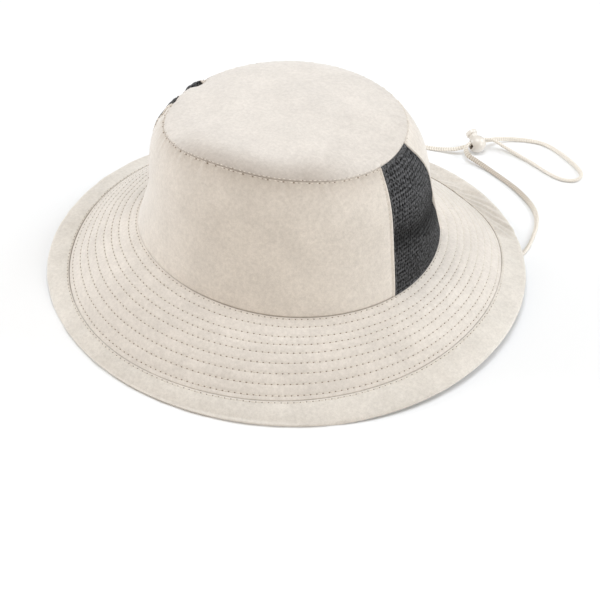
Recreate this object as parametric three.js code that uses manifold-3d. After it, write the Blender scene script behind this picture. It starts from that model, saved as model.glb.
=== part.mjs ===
// A surf hat standing on its brim: a bucket crown with mesh side panels, a stitched brim with a
// plain outer band, and a chin cord with a ball cord lock. Millimetres, +Z up, the front faces -Y.
import * as THREE from 'three';
import { mergeVertices } from 'three/addons/utils/BufferGeometryUtils.js';
import Module from 'manifold-3d';

const wasm = await Module();
wasm.setup();

// Driving sizes of the cloth pieces
const CROWN_CLOTH = 1.6;
const MESH_CLOTH = 1.2;
const BRIM_CLOTH = 2.0;
const SEAM_GAP = 0.3;
const STATIONS_ROUND_BRIM = 96;
const STATIONS_ROUND_TIP = 60;
const PANEL_STATION_DEGREES = 5;

// The hat's sections, counted in degrees from the front towards +X, the wearer's left. Each seam
// has its radius and the height of its outer face: the tip seam round the top panel, the base seam
// between crown and brim, the band seam round the stitched brim, and the rim. A height under the
// cloth's thickness is where the floor presses the brim flat. Bulge is how far the middle of the
// crown's wall stands out, roll how far its upper half does over its lower half, and cup is the
// hollow of the outer band.
const SECTIONS = `
  at   tipR  tipZ   baseR  baseZ  bandR  bandZ  rimR   rimZ  bulge  roll  cup
  0    69.6  112.7  89.4   31.7   139.6  7.7    150.9  0.5   3.5    2.0   -0.8
  30   70.7  110.4  92.1   29.9   138.8  7.0    153.5  0.5   3.5    2.0   -0.8
  60   73.7  107.4  96.3   29.8   137.7  8.6    156.0  4.4   3.4    2.0   -0.6
  90   73.4  105.2  96.9   29.5   137.2  12.1   154.7  6.8   5.8    2.0   -0.4
  120  72.9  106.7  96.6   31.9   137.5  11.0   153.0  7.2   5.0    2.0   0.6
  150  71.7  106.7  92.7   32.6   139.7  2.2    151.8  6.0   3.6    2.0   1.6
  180  71.6  107.3  90.9   33.1   139.8  1.2    152.4  4.4   3.5    2.0   1.2
  210  71.8  107.6  92.5   31.9   139.8  6.6    153.0  6.8   3.5    2.0   0.8
  240  72.4  106.5  95.8   31.2   140.4  9.4    153.8  8.4   3.5    2.4   0.6
  270  73.4  104.2  97.2   32.0   140.8  9.3    154.9  9.2   5.6    3.4   0.4
  300  73.6  104.8  94.4   34.0   139.6  6.9    155.0  6.0   1.6    2.9   -0.4
  330  71.5  109.5  90.4   33.8   139.7  6.9    151.3  0.5   3.0    2.2   -0.8`;

// The tip panel is a low dome that steepens towards its seam, with a soft roll along the edge
const TIP_DOME = { top: 114.5, fallPower: 2.6, edgeRoll: 1.5, rollPower: 14 };

// A last small wave over the height of the crown's wall, and the brim's one arch
const WALL_RIPPLE = 0.4;
const BRIM_WAVES = [3.0];

// Where the mesh panels start and end, in degrees from the front, at the tip and base seams, and
// the waves by which their edges leave a straight run between the two
const MESH_FRONT = { tip: 78.5, base: 73, waves: [-0.4, 0.9] };
const MESH_BACK = { tip: 101.8, base: 117, waves: [2.0, 0.9] };

// Rows of points down each piece, as shares of its height or width
const WALL_ROWS = [0, 0.15, 0.32, 0.48, 0.62, 0.74, 0.85, 0.94, 1];
const BRIM_ROWS = [0, 0.2, 0.4, 0.6, 0.8, 0.95, 1];
const BAND_ROWS = [0, 0.15, 0.4, 0.65, 0.88, 1];
const TIP_ROWS = [0.25, 0.5, 0.7, 0.85, 0.94, 1];

// The chin cord
const CORD_DIAMETER = 2.4;
const CORD_SIDES = 8;
const CORD_STEPS_PER_POINT = 2;

// The cord lock: a ball with a bore for the sprung button's stem, and a slot for the two strands.
// Its heights are counted from the ball's centre along the button.
const LOCK = { x: 48.8, y: 185.6, z: 6.4, headingDegrees: 58, buttonRiseDegrees: 28 };
const BALL_RADIUS = 6.3;
const BALL_RIM_RADIUS = 4.3;
const BORE_RADIUS = 3.6;
const BORE_FLOOR = -3.6;
const STEM_RADIUS = 3.3;
const STEM_FOOT = -1.0;
const HEAD_RADIUS = 4.1;
const HEAD_START = 8.0;
const HEAD_TOP = 11.0;
const HEAD_BEVEL = 0.6;
const PRESS_TRAVEL = 2.2;
const CORD_SLOT = { top: 2.8, halfWidth: 2.7, corner: 1.2, cornerSteps: 3 };
const STRAND = { up: 1.4, apart: 1.35, stops: [-6.5, -4, 4, 6.5] };
const LATHE_SEGMENTS = 24;
const BALL_ARC_STEPS = 10;

// The cord's route over the floor, from its seam at the wearer's left to the one at the right
const CORD_ROUTE = [
  [94.1, 8.3, 30], [93.9, 9.5, 13], [96.6, 18, 3.2], [101.5, 28.5, 1.8], [127, 80, 1.5],
  [127, 104, 1.4], [118, 131.5, 1.4], [99, 149.8, 1.4], [68, 165.8, 1.6], [56.5, 169, 3.2],
  [49, 170, 5.4], [44.5, 175.5, 7.2],
  'upper strand',
  [56.8, 195, 7.2], [67, 196.4, 3.0], [84, 191.8, 1.5], [116.5, 181.2, 1.4],
  [125.7, 185.6, 1.4], [126.4, 193.6, 1.4], [107, 209.8, 1.4], [86, 218.3, 1.4],
  [67, 212.6, 1.8], [57, 202.6, 4.2],
  'lower strand',
  [36.2, 174.9, 3.8], [21.5, 171, 1.6], [-10.5, 164, 1.4], [-47.5, 149.5, 1.4],
  [-77, 110, 1.4], [-89.5, 52, 1.4], [-91.8, 28, 1.5], [-93.4, 17, 3.2], [-93.9, 9.6, 13],
  [-94.1, 8.4, 30],
];

const CREAM = { color: 0xe4dccf, roughness: 0.9, metalness: 0 };
const CHARCOAL = { color: 0x3b3b3d, roughness: 0.8, metalness: 0 };
const PEARL = { color: 0xf0ece6, roughness: 0.3, metalness: 0 };

const radians = THREE.MathUtils.degToRad;
const degreesOf = THREE.MathUtils.radToDeg;
const lerp = THREE.MathUtils.lerp;

function readTable(text) {
  const [columns, ...rows] = text.trim().split('\n').map((line) => line.trim().split(/\s+/));
  return rows.map((row) => Object.fromEntries(columns.map((name, i) => [name, Number(row[i])])));
}

const sections = readTable(SECTIONS);

// A section's value at any angle, on one smooth closed curve through the table's rows
function sectionValue(column, degrees) {
  const turns = THREE.MathUtils.euclideanModulo(degrees, 360) / 360 * sections.length;
  const row = Math.floor(turns);
  const t = turns - row;
  const value = (step) => sections[(row + step + sections.length) % sections.length][column];
  const [a, b, c, d] = [value(-1), value(0), value(1), value(2)];
  return 0.5 * (2 * b + (c - a) * t + (2 * a - 5 * b + 4 * c - d) * t * t
    + (3 * b - a - 3 * c + d) * t * t * t);
}

// A section point is a radius and a height, and stands in the half-plane at its angle
function place(degrees, { r, z }) {
  const angle = radians(degrees);
  return new THREE.Vector3(r * Math.sin(angle), -r * Math.cos(angle), z);
}

function unit({ r, z }) {
  const length = Math.hypot(r, z);
  return { r: r / length, z: z / length };
}

// The sum of waves over a length: the first has one arch, the second two, and so on
function wavesAt(waves, share) {
  return waves.reduce(
    (sum, height, wave) => sum + height * Math.sin((wave + 1) * Math.PI * share), 0);
}

// Points on the line from one seam to another, pushed out from it by waves over its length
function wavedLine(from, to, share, waves) {
  const along = unit({ r: to.r - from.r, z: to.z - from.z });
  const turn = along.z > along.r ? 1 : -1;
  const bulge = wavesAt(waves, share);
  return {
    r: lerp(from.r, to.r, share) + turn * along.z * bulge,
    z: lerp(from.z, to.z, share) - turn * along.r * bulge,
  };
}

const tipSeam = (a) => ({ r: sectionValue('tipR', a), z: sectionValue('tipZ', a) });
const baseSeam = (a) => ({ r: sectionValue('baseR', a), z: sectionValue('baseZ', a) });
const bandSeam = (a) => ({ r: sectionValue('bandR', a), z: sectionValue('bandZ', a) });
const rim = (a) => ({ r: sectionValue('rimR', a), z: sectionValue('rimZ', a) });

// Outer faces, each from its inner or lower seam at share 0 to the next seam at share 1
function tipFace(degrees, share) {
  const seam = tipSeam(degrees);
  const fall = share ** TIP_DOME.fallPower;
  const roll = TIP_DOME.edgeRoll * (fall - share ** TIP_DOME.rollPower);
  return { r: seam.r * share, z: lerp(TIP_DOME.top, seam.z, fall) + roll };
}

function wallFace(degrees, share) {
  const waves = [sectionValue('bulge', degrees), -sectionValue('roll', degrees), WALL_RIPPLE];
  return wavedLine(baseSeam(degrees), tipSeam(degrees), share, waves);
}

function brimFace(degrees, share) {
  return wavedLine(baseSeam(degrees), bandSeam(degrees), share, BRIM_WAVES);
}

function bandFace(degrees, share) {
  return wavedLine(bandSeam(degrees), rim(degrees), share, [-sectionValue('cup', degrees)]);
}

// The face's direction in the section, by a small step along it
function slopeOf(face, degrees, share) {
  const step = 0.01;
  const a = face(degrees, Math.max(0, share - step));
  const b = face(degrees, Math.min(1, share + step));
  return unit({ r: b.r - a.r, z: b.z - a.z });
}

const wallNormal = (along) => ({ r: along.z, z: -along.r });
const topNormal = (along) => ({ r: -along.z, z: along.r });

// Where the inner faces of two cloths that meet at a seam cross
function innerCorner(seam, normalA, clothA, normalB, clothB) {
  const det = normalA.r * normalB.z - normalA.z * normalB.r;
  return {
    r: seam.r + (-clothA * normalB.z + clothB * normalA.z) / det,
    z: seam.z + (-clothB * normalA.r + clothA * normalB.r) / det,
  };
}

// The mitre lines of the two crown seams are those of the crown's cloth, and thinner cloth stops
// part of the way along them
function partWay(seam, corner, thickness) {
  const share = thickness / CROWN_CLOTH;
  return { r: lerp(seam.r, corner.r, share), z: lerp(seam.z, corner.z, share) };
}

function cornerAtTip(degrees, thickness = CROWN_CLOTH) {
  const seam = tipSeam(degrees);
  const corner = innerCorner(seam,
    wallNormal(slopeOf(wallFace, degrees, 1)), CROWN_CLOTH,
    topNormal(slopeOf(tipFace, degrees, 1)), CROWN_CLOTH);
  return partWay(seam, corner, thickness);
}

function cornerAtBase(degrees, thickness = CROWN_CLOTH) {
  const seam = baseSeam(degrees);
  const corner = innerCorner(seam,
    wallNormal(slopeOf(wallFace, degrees, 0)), CROWN_CLOTH,
    topNormal(slopeOf(brimFace, degrees, 0)), BRIM_CLOTH);
  return partWay(seam, corner, thickness);
}

// The brim and its band are one thickness, so their mitre is the mean of their two normals
function cornerAtBand(degrees) {
  const brimSide = topNormal(slopeOf(brimFace, degrees, 1));
  const bandSide = topNormal(slopeOf(bandFace, degrees, 0));
  const mean = unit({ r: brimSide.r + bandSide.r, z: brimSide.z + bandSide.z });
  const reach = BRIM_CLOTH / (mean.r * bandSide.r + mean.z * bandSide.z);
  const seam = bandSeam(degrees);
  return { r: seam.r - mean.r * reach, z: seam.z - mean.z * reach };
}

// The cloths: an outer face, its normal, a thickness, and the inner corners where it meets a seam
const tipCloth = {
  face: tipFace, normal: topNormal, thickness: CROWN_CLOTH, endCorner: (a) => cornerAtTip(a),
};
const wallCloth = (thickness) => ({
  face: wallFace,
  normal: wallNormal,
  thickness,
  startCorner: (a) => cornerAtBase(a, thickness),
  endCorner: (a) => cornerAtTip(a, thickness),
});
const brimCloth = {
  face: brimFace,
  normal: topNormal,
  thickness: BRIM_CLOTH,
  startCorner: (a) => cornerAtBase(a),
  endCorner: cornerAtBand,
  rests: true,
};
const bandCloth = {
  face: bandFace, normal: topNormal, thickness: BRIM_CLOTH, startCorner: cornerAtBand, rests: true,
};

// One row across a cloth: the point on its outer face and the one behind it on its inner face. At
// a seam the inner point is the mitre's corner, and both draw back by half of the seam's gap.
// Cloth that rests is pressed flat where it would reach under the floor.
function clothRow(cloth, degrees, share) {
  const along = slopeOf(cloth.face, degrees, share);
  const out = cloth.normal(along);
  const outer = cloth.face(degrees, share);
  let inner = { r: outer.r - out.r * cloth.thickness, z: outer.z - out.z * cloth.thickness };
  let shift = 0;
  if (share === 0 && cloth.startCorner) {
    inner = cloth.startCorner(degrees);
    shift = SEAM_GAP / 2;
  }
  if (share === 1 && cloth.endCorner) {
    inner = cloth.endCorner(degrees);
    shift = -SEAM_GAP / 2;
  }
  for (const point of [outer, inner]) {
    point.r += along.r * shift;
    point.z += along.z * shift;
  }
  if (cloth.rests) {
    outer.z = Math.max(cloth.thickness, outer.z);
    inner.z = Math.max(0, inner.z);
  }
  return { outer: place(degrees, outer), inner: place(degrees, inner) };
}

// Rows turned into a loop: out along the outer face and back along the inner face
function loopOf(rows) {
  return [...rows.map((row) => row.outer), ...rows.map((row) => row.inner).reverse()];
}

function facetedBody(points, index) {
  const geometry = new THREE.BufferGeometry();
  const positions = points.flatMap((p) => [p.x, p.y, p.z]);
  geometry.setAttribute('position', new THREE.Float32BufferAttribute(positions, 3));
  geometry.setIndex(index);
  geometry.computeVertexNormals();
  return geometry;
}

// A closed body swept through loops of points, one loop for each station. An open sweep gets a
// strip of faces at each end, between the outer and the inner half of its loop.
function sweepLoops(loops, closed) {
  const size = loops[0].length;
  const index = [];
  const at = (station, i) => (station % loops.length) * size + ((i + size) % size);
  const spans = closed ? loops.length : loops.length - 1;
  for (let s = 0; s < spans; s += 1) {
    for (let i = 0; i < size; i += 1) {
      index.push(at(s, i), at(s + 1, i), at(s + 1, i + 1));
      index.push(at(s, i), at(s + 1, i + 1), at(s, i + 1));
    }
  }
  if (!closed) {
    const last = loops.length - 1;
    for (let i = 0; i < size / 2 - 1; i += 1) {
      const back = size - 1 - i;
      index.push(at(0, i), at(0, i + 1), at(0, back - 1), at(0, i), at(0, back - 1), at(0, back));
      index.push(at(last, i), at(last, back - 1), at(last, i + 1));
      index.push(at(last, i), at(last, back), at(last, back - 1));
    }
  }
  return facetedBody(loops.flat(), index);
}

// The angle of a panel's edge at a share of the wall's height
const edgeAt = ({ tip, base, waves }, share) => lerp(base, tip, share) + wavesAt(waves, share);

// A side panel of the crown, between two slanted edges
function wallPanel(edgeA, edgeB, thickness) {
  const cloth = wallCloth(thickness);
  const widest = Math.max(edgeB.base - edgeA.base, edgeB.tip - edgeA.tip);
  const spans = Math.round(widest / PANEL_STATION_DEGREES);
  const loops = [];
  for (let s = 0; s <= spans; s += 1) {
    loops.push(loopOf(WALL_ROWS.map((share) => {
      const trim = degreesOf(SEAM_GAP / 2 / wallFace(edgeA.base, share).r);
      const a = edgeAt(edgeA, share) + trim;
      const b = edgeAt(edgeB, share) - trim;
      return clothRow(cloth, lerp(a, b, s / spans), share);
    })));
  }
  return sweepLoops(loops, false);
}

// A ring of cloth round the whole hat. Its section runs outwards, not up as a wall's does, so its
// loop is taken the other way round.
function clothRing(cloth, rows) {
  const loops = [];
  for (let s = 0; s < STATIONS_ROUND_BRIM; s += 1) {
    const degrees = 360 * s / STATIONS_ROUND_BRIM;
    loops.push(loopOf(rows.map((share) => clothRow(cloth, degrees, share))).reverse());
  }
  return sweepLoops(loops, true);
}

// The top panel: rings of points on both faces, closed by a pole on each
function crownTip() {
  const stations = Array.from({ length: STATIONS_ROUND_TIP }, (_, s) => loopOf(
    TIP_ROWS.map((share) => clothRow(tipCloth, 360 * s / STATIONS_ROUND_TIP, share))));
  const size = stations[0].length;
  const topPole = stations.length * size;
  const lowPole = topPole + 1;
  const index = [];
  stations.forEach((_, s) => {
    const here = s * size;
    const next = (s + 1) % stations.length * size;
    index.push(topPole, here, next);
    for (let k = 0; k + 1 < size; k += 1) {
      index.push(here + k, here + k + 1, next + k + 1);
      index.push(here + k, next + k + 1, next + k);
    }
    index.push(lowPole, next + size - 1, here + size - 1);
  });
  const poles = [TIP_DOME.top, TIP_DOME.top - CROWN_CLOTH].map((z) => new THREE.Vector3(0, 0, z));
  return facetedBody([...stations.flat(), ...poles], index);
}

// The cord lock's own directions: the cord runs along its X, the button along its Y
const lockHeading = new THREE.Vector3(
  Math.cos(radians(LOCK.headingDegrees)), Math.sin(radians(LOCK.headingDegrees)), 0);
const lockButton = new THREE.Vector3(-lockHeading.y, lockHeading.x, 0)
  .multiplyScalar(Math.cos(radians(LOCK.buttonRiseDegrees)))
  .add(new THREE.Vector3(0, 0, Math.sin(radians(LOCK.buttonRiseDegrees))));
const lockAcross = lockHeading.clone().cross(lockButton);
const lockCentre = new THREE.Vector3(LOCK.x, LOCK.y, LOCK.z);

// A point of one of the two strands in the lock, at a distance along the cord's way through it
function strandPoint(along, side) {
  return lockCentre.clone()
    .addScaledVector(lockHeading, along)
    .addScaledVector(lockButton, STRAND.up)
    .addScaledVector(lockAcross, side * STRAND.apart);
}

function cordPoints() {
  return CORD_ROUTE.flatMap((stop) => {
    if (stop === 'upper strand') return STRAND.stops.map((along) => strandPoint(along, 1));
    if (stop === 'lower strand') return STRAND.stops.map((along) => strandPoint(-along, -1));
    return [new THREE.Vector3(...stop)];
  });
}

// The cord's curve, stepped by its route points, so that its bends get the most steps
class LaidCord extends THREE.CatmullRomCurve3 {
  getPointAt(share, target) {
    return this.getPoint(share, target);
  }

  getTangentAt(share, target) {
    return this.getTangent(share, target);
  }
}

function chinCord() {
  const section = new THREE.Shape();
  for (let i = 0; i < CORD_SIDES; i += 1) {
    const angle = 2 * Math.PI * (i + 0.5) / CORD_SIDES;
    const corner = [CORD_DIAMETER / 2 * Math.cos(angle), CORD_DIAMETER / 2 * Math.sin(angle)];
    if (i === 0) section.moveTo(...corner);
    else section.lineTo(...corner);
  }
  section.closePath();
  const points = cordPoints();
  return new THREE.ExtrudeGeometry(section, {
    steps: (points.length - 1) * CORD_STEPS_PER_POINT,
    extrudePath: new LaidCord(points, false, 'centripetal'),
    bevelEnabled: false,
  });
}

// Cuts one closed geometry out of another
function cutAway(geometry, tool) {
  const weldDistance = 1e-4;
  const solid = (source) => {
    const bare = source.clone();
    bare.deleteAttribute('normal');
    bare.deleteAttribute('uv');
    const merged = mergeVertices(bare, weldDistance);
    return new wasm.Manifold(new wasm.Mesh({
      numProp: 3,
      vertProperties: new Float32Array(merged.getAttribute('position').array),
      triVerts: new Uint32Array(merged.getIndex().array),
    }));
  };
  const mesh = solid(geometry).subtract(solid(tool)).getMesh();
  const result = new THREE.BufferGeometry();
  result.setAttribute('position', new THREE.Float32BufferAttribute(mesh.vertProperties, 3));
  result.setIndex([...mesh.triVerts]);
  result.computeVertexNormals();
  return result;
}

// A round-cornered slot along X, from one height to another along Y
function slotCutter(low, high) {
  const { halfWidth, corner, cornerSteps } = CORD_SLOT;
  const shape = new THREE.Shape();
  shape.moveTo(-halfWidth + corner, low);
  shape.lineTo(halfWidth - corner, low);
  shape.quadraticCurveTo(halfWidth, low, halfWidth, low + corner);
  shape.lineTo(halfWidth, high - corner);
  shape.quadraticCurveTo(halfWidth, high, halfWidth - corner, high);
  shape.lineTo(-halfWidth + corner, high);
  shape.quadraticCurveTo(-halfWidth, high, -halfWidth, high - corner);
  shape.lineTo(-halfWidth, low + corner);
  shape.quadraticCurveTo(-halfWidth, low, -halfWidth + corner, low);
  const depth = 4 * BALL_RADIUS;
  const cutter = new THREE.ExtrudeGeometry(
    shape, { depth, bevelEnabled: false, curveSegments: cornerSteps });
  cutter.translate(0, 0, -depth / 2);
  cutter.rotateY(Math.PI / 2);
  return cutter;
}

function latheAround(profile) {
  return new THREE.LatheGeometry(profile.map(([r, y]) => new THREE.Vector2(r, y)), LATHE_SEGMENTS);
}

function lockBarrel() {
  const rimAngle = Math.acos(BALL_RIM_RADIUS / BALL_RADIUS);
  const profile = [[0, -BALL_RADIUS]];
  for (let i = 1; i <= BALL_ARC_STEPS; i += 1) {
    const angle = lerp(-Math.PI / 2, rimAngle, i / BALL_ARC_STEPS);
    profile.push([BALL_RADIUS * Math.cos(angle), BALL_RADIUS * Math.sin(angle)]);
  }
  const rimHeight = BALL_RADIUS * Math.sin(rimAngle);
  profile.push([BORE_RADIUS, rimHeight], [BORE_RADIUS, BORE_FLOOR], [0, BORE_FLOOR]);
  return cutAway(latheAround(profile), slotCutter(-PRESS_TRAVEL, CORD_SLOT.top));
}

function lockButtonPiece() {
  const profile = [
    [0, STEM_FOOT], [STEM_RADIUS, STEM_FOOT], [STEM_RADIUS, HEAD_START],
    [HEAD_RADIUS, HEAD_START], [HEAD_RADIUS, HEAD_TOP - HEAD_BEVEL],
    [HEAD_RADIUS - HEAD_BEVEL, HEAD_TOP], [0, HEAD_TOP],
  ];
  return cutAway(latheAround(profile), slotCutter(0, CORD_SLOT.top + PRESS_TRAVEL));
}

const group = new THREE.Group();

function addPiece(name, geometry, finish, parent = group) {
  const mesh = new THREE.Mesh(geometry, new THREE.MeshStandardMaterial(finish));
  mesh.name = name;
  parent.add(mesh);
}

// The same edge on the hat's other side, counted on past the back up to a whole turn
const otherSide = ({ tip, base, waves }, turn) => (
  { tip: turn - tip, base: turn - base, waves: waves.map((height) => -height) });
const frontRight = otherSide(MESH_FRONT, 0);
const backRight = otherSide(MESH_BACK, 360);
const frontRightOn = otherSide(MESH_FRONT, 360);

addPiece('crown_tip', crownTip(), CREAM);
addPiece('crown_front_panel', wallPanel(frontRight, MESH_FRONT, CROWN_CLOTH), CREAM);
addPiece('mesh_panel_left', wallPanel(MESH_FRONT, MESH_BACK, MESH_CLOTH), CHARCOAL);
addPiece('crown_back_panel', wallPanel(MESH_BACK, backRight, CROWN_CLOTH), CREAM);
addPiece('mesh_panel_right', wallPanel(backRight, frontRightOn, MESH_CLOTH), CHARCOAL);
addPiece('brim', clothRing(brimCloth, BRIM_ROWS), CREAM);
addPiece('brim_band', clothRing(bandCloth, BAND_ROWS), CREAM);
addPiece('chin_cord', chinCord(), CREAM);

const lock = new THREE.Group();
lock.position.copy(lockCentre);
lock.quaternion.setFromRotationMatrix(
  new THREE.Matrix4().makeBasis(lockHeading, lockButton, lockAcross));
group.add(lock);
addPiece('cord_lock_barrel', lockBarrel(), PEARL, lock);
addPiece('cord_lock_button', lockButtonPiece(), PEARL, lock);

export default group;
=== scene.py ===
"""A surf hat lying on a pale floor: cloth crown with mesh sides, stitched brim, chin cord and lock."""

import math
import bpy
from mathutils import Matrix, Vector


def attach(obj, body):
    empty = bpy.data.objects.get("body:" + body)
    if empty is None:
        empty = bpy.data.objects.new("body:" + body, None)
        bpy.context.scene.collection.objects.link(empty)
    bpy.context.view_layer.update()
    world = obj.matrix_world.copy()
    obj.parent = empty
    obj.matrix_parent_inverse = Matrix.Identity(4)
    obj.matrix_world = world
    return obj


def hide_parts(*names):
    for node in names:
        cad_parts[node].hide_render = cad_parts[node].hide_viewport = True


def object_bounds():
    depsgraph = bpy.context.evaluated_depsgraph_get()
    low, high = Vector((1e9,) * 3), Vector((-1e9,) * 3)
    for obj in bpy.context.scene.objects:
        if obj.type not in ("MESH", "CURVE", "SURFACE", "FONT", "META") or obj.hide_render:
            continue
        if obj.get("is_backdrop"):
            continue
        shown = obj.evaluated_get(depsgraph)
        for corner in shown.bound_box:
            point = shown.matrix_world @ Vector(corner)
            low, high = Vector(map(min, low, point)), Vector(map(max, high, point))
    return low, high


bl_info = {
    "name": "Surf Hat",
    "version": (1, 0, 0),
    "blender": (4, 5, 0),
    "location": "3D View > Sidebar > Surf Hat",
    "description": "Builds a surf hat piece by piece, with its stitching, mesh, chin cord and cord lock",
    "category": "Object",
}

import bmesh
import bpy
import numpy as np
from bpy.props import FloatProperty, FloatVectorProperty, PointerProperty
from bpy.types import Operator, Panel, PropertyGroup
from mathutils import Vector

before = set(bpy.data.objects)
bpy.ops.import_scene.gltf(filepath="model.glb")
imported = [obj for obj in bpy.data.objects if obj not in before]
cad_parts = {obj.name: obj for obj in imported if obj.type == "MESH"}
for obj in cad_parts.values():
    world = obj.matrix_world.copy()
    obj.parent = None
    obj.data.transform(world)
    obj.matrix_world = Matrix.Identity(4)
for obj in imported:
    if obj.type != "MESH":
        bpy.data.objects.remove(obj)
cad_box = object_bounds()

MM = 0.001
HAT_BODY = "hat"
BUTTON_BODY = "lock_button"

# The hat's sections, counted in degrees from the front towards +X, the wearer's left. Each seam
# has its radius and the height of its outer face, in millimetres: the tip seam round the top panel,
# the base seam between crown and brim, the band seam round the stitched brim, and the rim. Bulge is
# how far the middle of the crown's wall stands out, roll how far its upper half does over its lower
# half, and cup is the hollow of the outer band.
SECTIONS = """
  at   tipR  tipZ   baseR  baseZ  bandR  bandZ  rimR   rimZ  bulge  roll  cup
  0    69.6  112.7  89.4   31.7   139.6  7.7    150.9  0.5   3.5    2.0   -0.8
  30   70.7  110.4  92.1   29.9   138.8  7.0    153.5  0.5   3.5    2.0   -0.8
  60   73.7  107.4  96.3   29.8   137.7  8.6    156.0  4.4   3.4    2.0   -0.6
  90   73.4  105.2  96.9   29.5   137.2  12.1   154.7  6.8   5.8    2.0   -0.4
  120  72.9  106.7  96.6   31.9   137.5  11.0   153.0  7.2   5.0    2.0   0.6
  150  71.7  106.7  92.7   32.6   139.7  2.2    151.8  6.0   3.6    2.0   1.6
  180  71.6  107.3  90.9   33.1   139.8  1.2    152.4  4.4   3.5    2.0   1.2
  210  71.8  107.6  92.5   31.9   139.8  6.6    153.0  6.8   3.5    2.0   0.8
  240  72.4  106.5  95.8   31.2   140.4  9.4    153.8  8.4   3.5    2.4   0.6
  270  73.4  104.2  97.2   32.0   140.8  9.3    154.9  9.2   5.6    3.4   0.4
  300  73.6  104.8  94.4   34.0   139.6  6.9    155.0  6.0   1.6    2.9   -0.4
  330  71.5  109.5  90.4   33.8   139.7  6.9    151.3  0.5   3.0    2.2   -0.8"""
TIP_DOME_TOP = 114.5
TIP_FALL_POWER = 2.6
TIP_EDGE_ROLL = 1.5
TIP_ROLL_POWER = 14
WALL_RIPPLE = 0.4
BRIM_WAVES = (3.0,)

# Mean sizes of the cloths in millimetres, by which shares of a face are counted as lengths
TIP_RADIUS = 72.0
WALL_HEIGHT = 84.0
WALL_RADIUS = 85.0
BRIM_WIDTH = 56.0
BRIM_RADIUS = 116.0
BAND_WIDTH = 13.0
BAND_RADIUS = 147.0

# Where the mesh panels start and end, in degrees from the front, at the base and tip seams, and the
# waves by which their edges leave a straight run between the two
MESH_FRONT = {"base": 73.0, "tip": 78.5, "waves": (-0.4, 0.9)}
MESH_BACK = {"base": 117.0, "tip": 101.8, "waves": (2.0, 0.9)}

# The cloths, half of the gap beside the mesh panels, and how little the other seams are drawn back
CROWN_CLOTH = 1.6
MESH_CLOTH = 1.2
MESH_SUNK = 0.15
BRIM_CLOTH = 2.0
HALF_SEAM = 0.15
SEAM_DRAW = 0.015

# Angles between the stations of the round cloths, and distances from a panel's edge
TIP_STATION = 0.75
BRIM_STATION = 0.4
PANEL_STATIONS = 220
EDGE_STEPS = np.array([0, 0.25, 0.5, 0.8, 1.2, 1.7, 2.2, 2.8])

# Rows of points over each face, as shares of the way over it, crowded at its seams
TIP_SHARES = np.concatenate([np.linspace(0, 0.9, 28)[:-1], np.linspace(0.9, 1, 18)])
WALL_SHARES = np.concatenate([
    [0, 0.004, 0.01, 0.018, 0.028], np.linspace(0.045, 0.925, 44),
    [0.94, 0.952, 0.962, 0.971, 0.979, 0.986, 0.992, 0.997, 1.0],
])
BAND_SHARES = np.concatenate([
    [0, 0.02, 0.045, 0.08, 0.12], np.linspace(0.17, 0.88, 15),
    [0.915, 0.945, 0.97, 0.988, 0.997, 1.0],
])
BRIM_NEAR_SEAMS = [0.0, 0.004, 0.01, 0.018, 0.028, 0.045, 0.065, 0.98, 0.988, 0.995, 1.0]
BRIM_NEAR_ROW = np.array([-2, -1.4, -0.9, -0.45, 0, 0.45, 0.9, 1.4, 2])

# Quilting: the needle's pitch, and the groove and pillows that the rows of stitches draw
STITCH_PITCH = 3.6
QUILT_DEPTH = 0.16
QUILT_GROOVE = 0.7
QUILT_DIMPLE = 0.6
PILLOW_DEPTH = 0.2
PILLOW_WIDTH = 1.9

# Rows of stitching over the brim, as shares of the way from the base seam to the band seam
BRIM_STITCH_ROWS = (0.026, 0.125, 0.255, 0.355, 0.46, 0.58, 0.70, 0.82, 0.945)

# Forms at single places of the tip and the wall, in millimetres: how high each stands, the angles
# that it spans and over which it fades, and where off the tip seam its middle lies and it reaches
TIP_FORMS = """
  height  low   high  soft  middle  reach
  1.2     -8    30    36    12      10.5
  0.7     -92   -85   5     1       4
  -1.5    -101  -99   6     0       4"""
WALL_FORMS = """
  height  low   high  soft  middle  reach
  2.2     -101  -97   5     4       3.4
  1.2     -84   -79   4     4       3.4"""

# The mesh: the eight corners of a cell and bearings round its hole, how the holes slant, and the
# rings of yarn round each hole: their width and height over the hole's, and how high they lie
CELL_CORNERS = np.array([(-1, -1), (0, -1), (1, -1), (1, 0), (1, 1), (0, 1), (-1, 1), (-1, 0)]) / 2
HOLE_BEARINGS = np.radians([-128, -90, -52, 0, 52, 90, 128, 180])
HOLE_SLANT = np.array([[1, 0], [0.42, 1]])
YARN_RINGS = ((1.3, 1.22, 0.1), (1, 1, -0.18), (1.1, 1.1, -0.52))
YARN_TOP = -0.28
YARN_FOOT = -0.6
NET_TRIM = 0.25
NET_CLOSED_EDGE = 0.35
NET_REACH = 40
HEM_TRIM = 0.3
HEM_HEIGHT = 0.5
TOP_HEM_SHARE = 0.984

# The rounded section of the mesh's bound edges, as shares of their width and height
HEM_SECTION = ((-0.5, -0.5), (-0.5, 0.1), (-0.38, 0.42), (0, 0.5), (0.38, 0.42), (0.5, 0.1), (0.5, -0.5))

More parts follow.
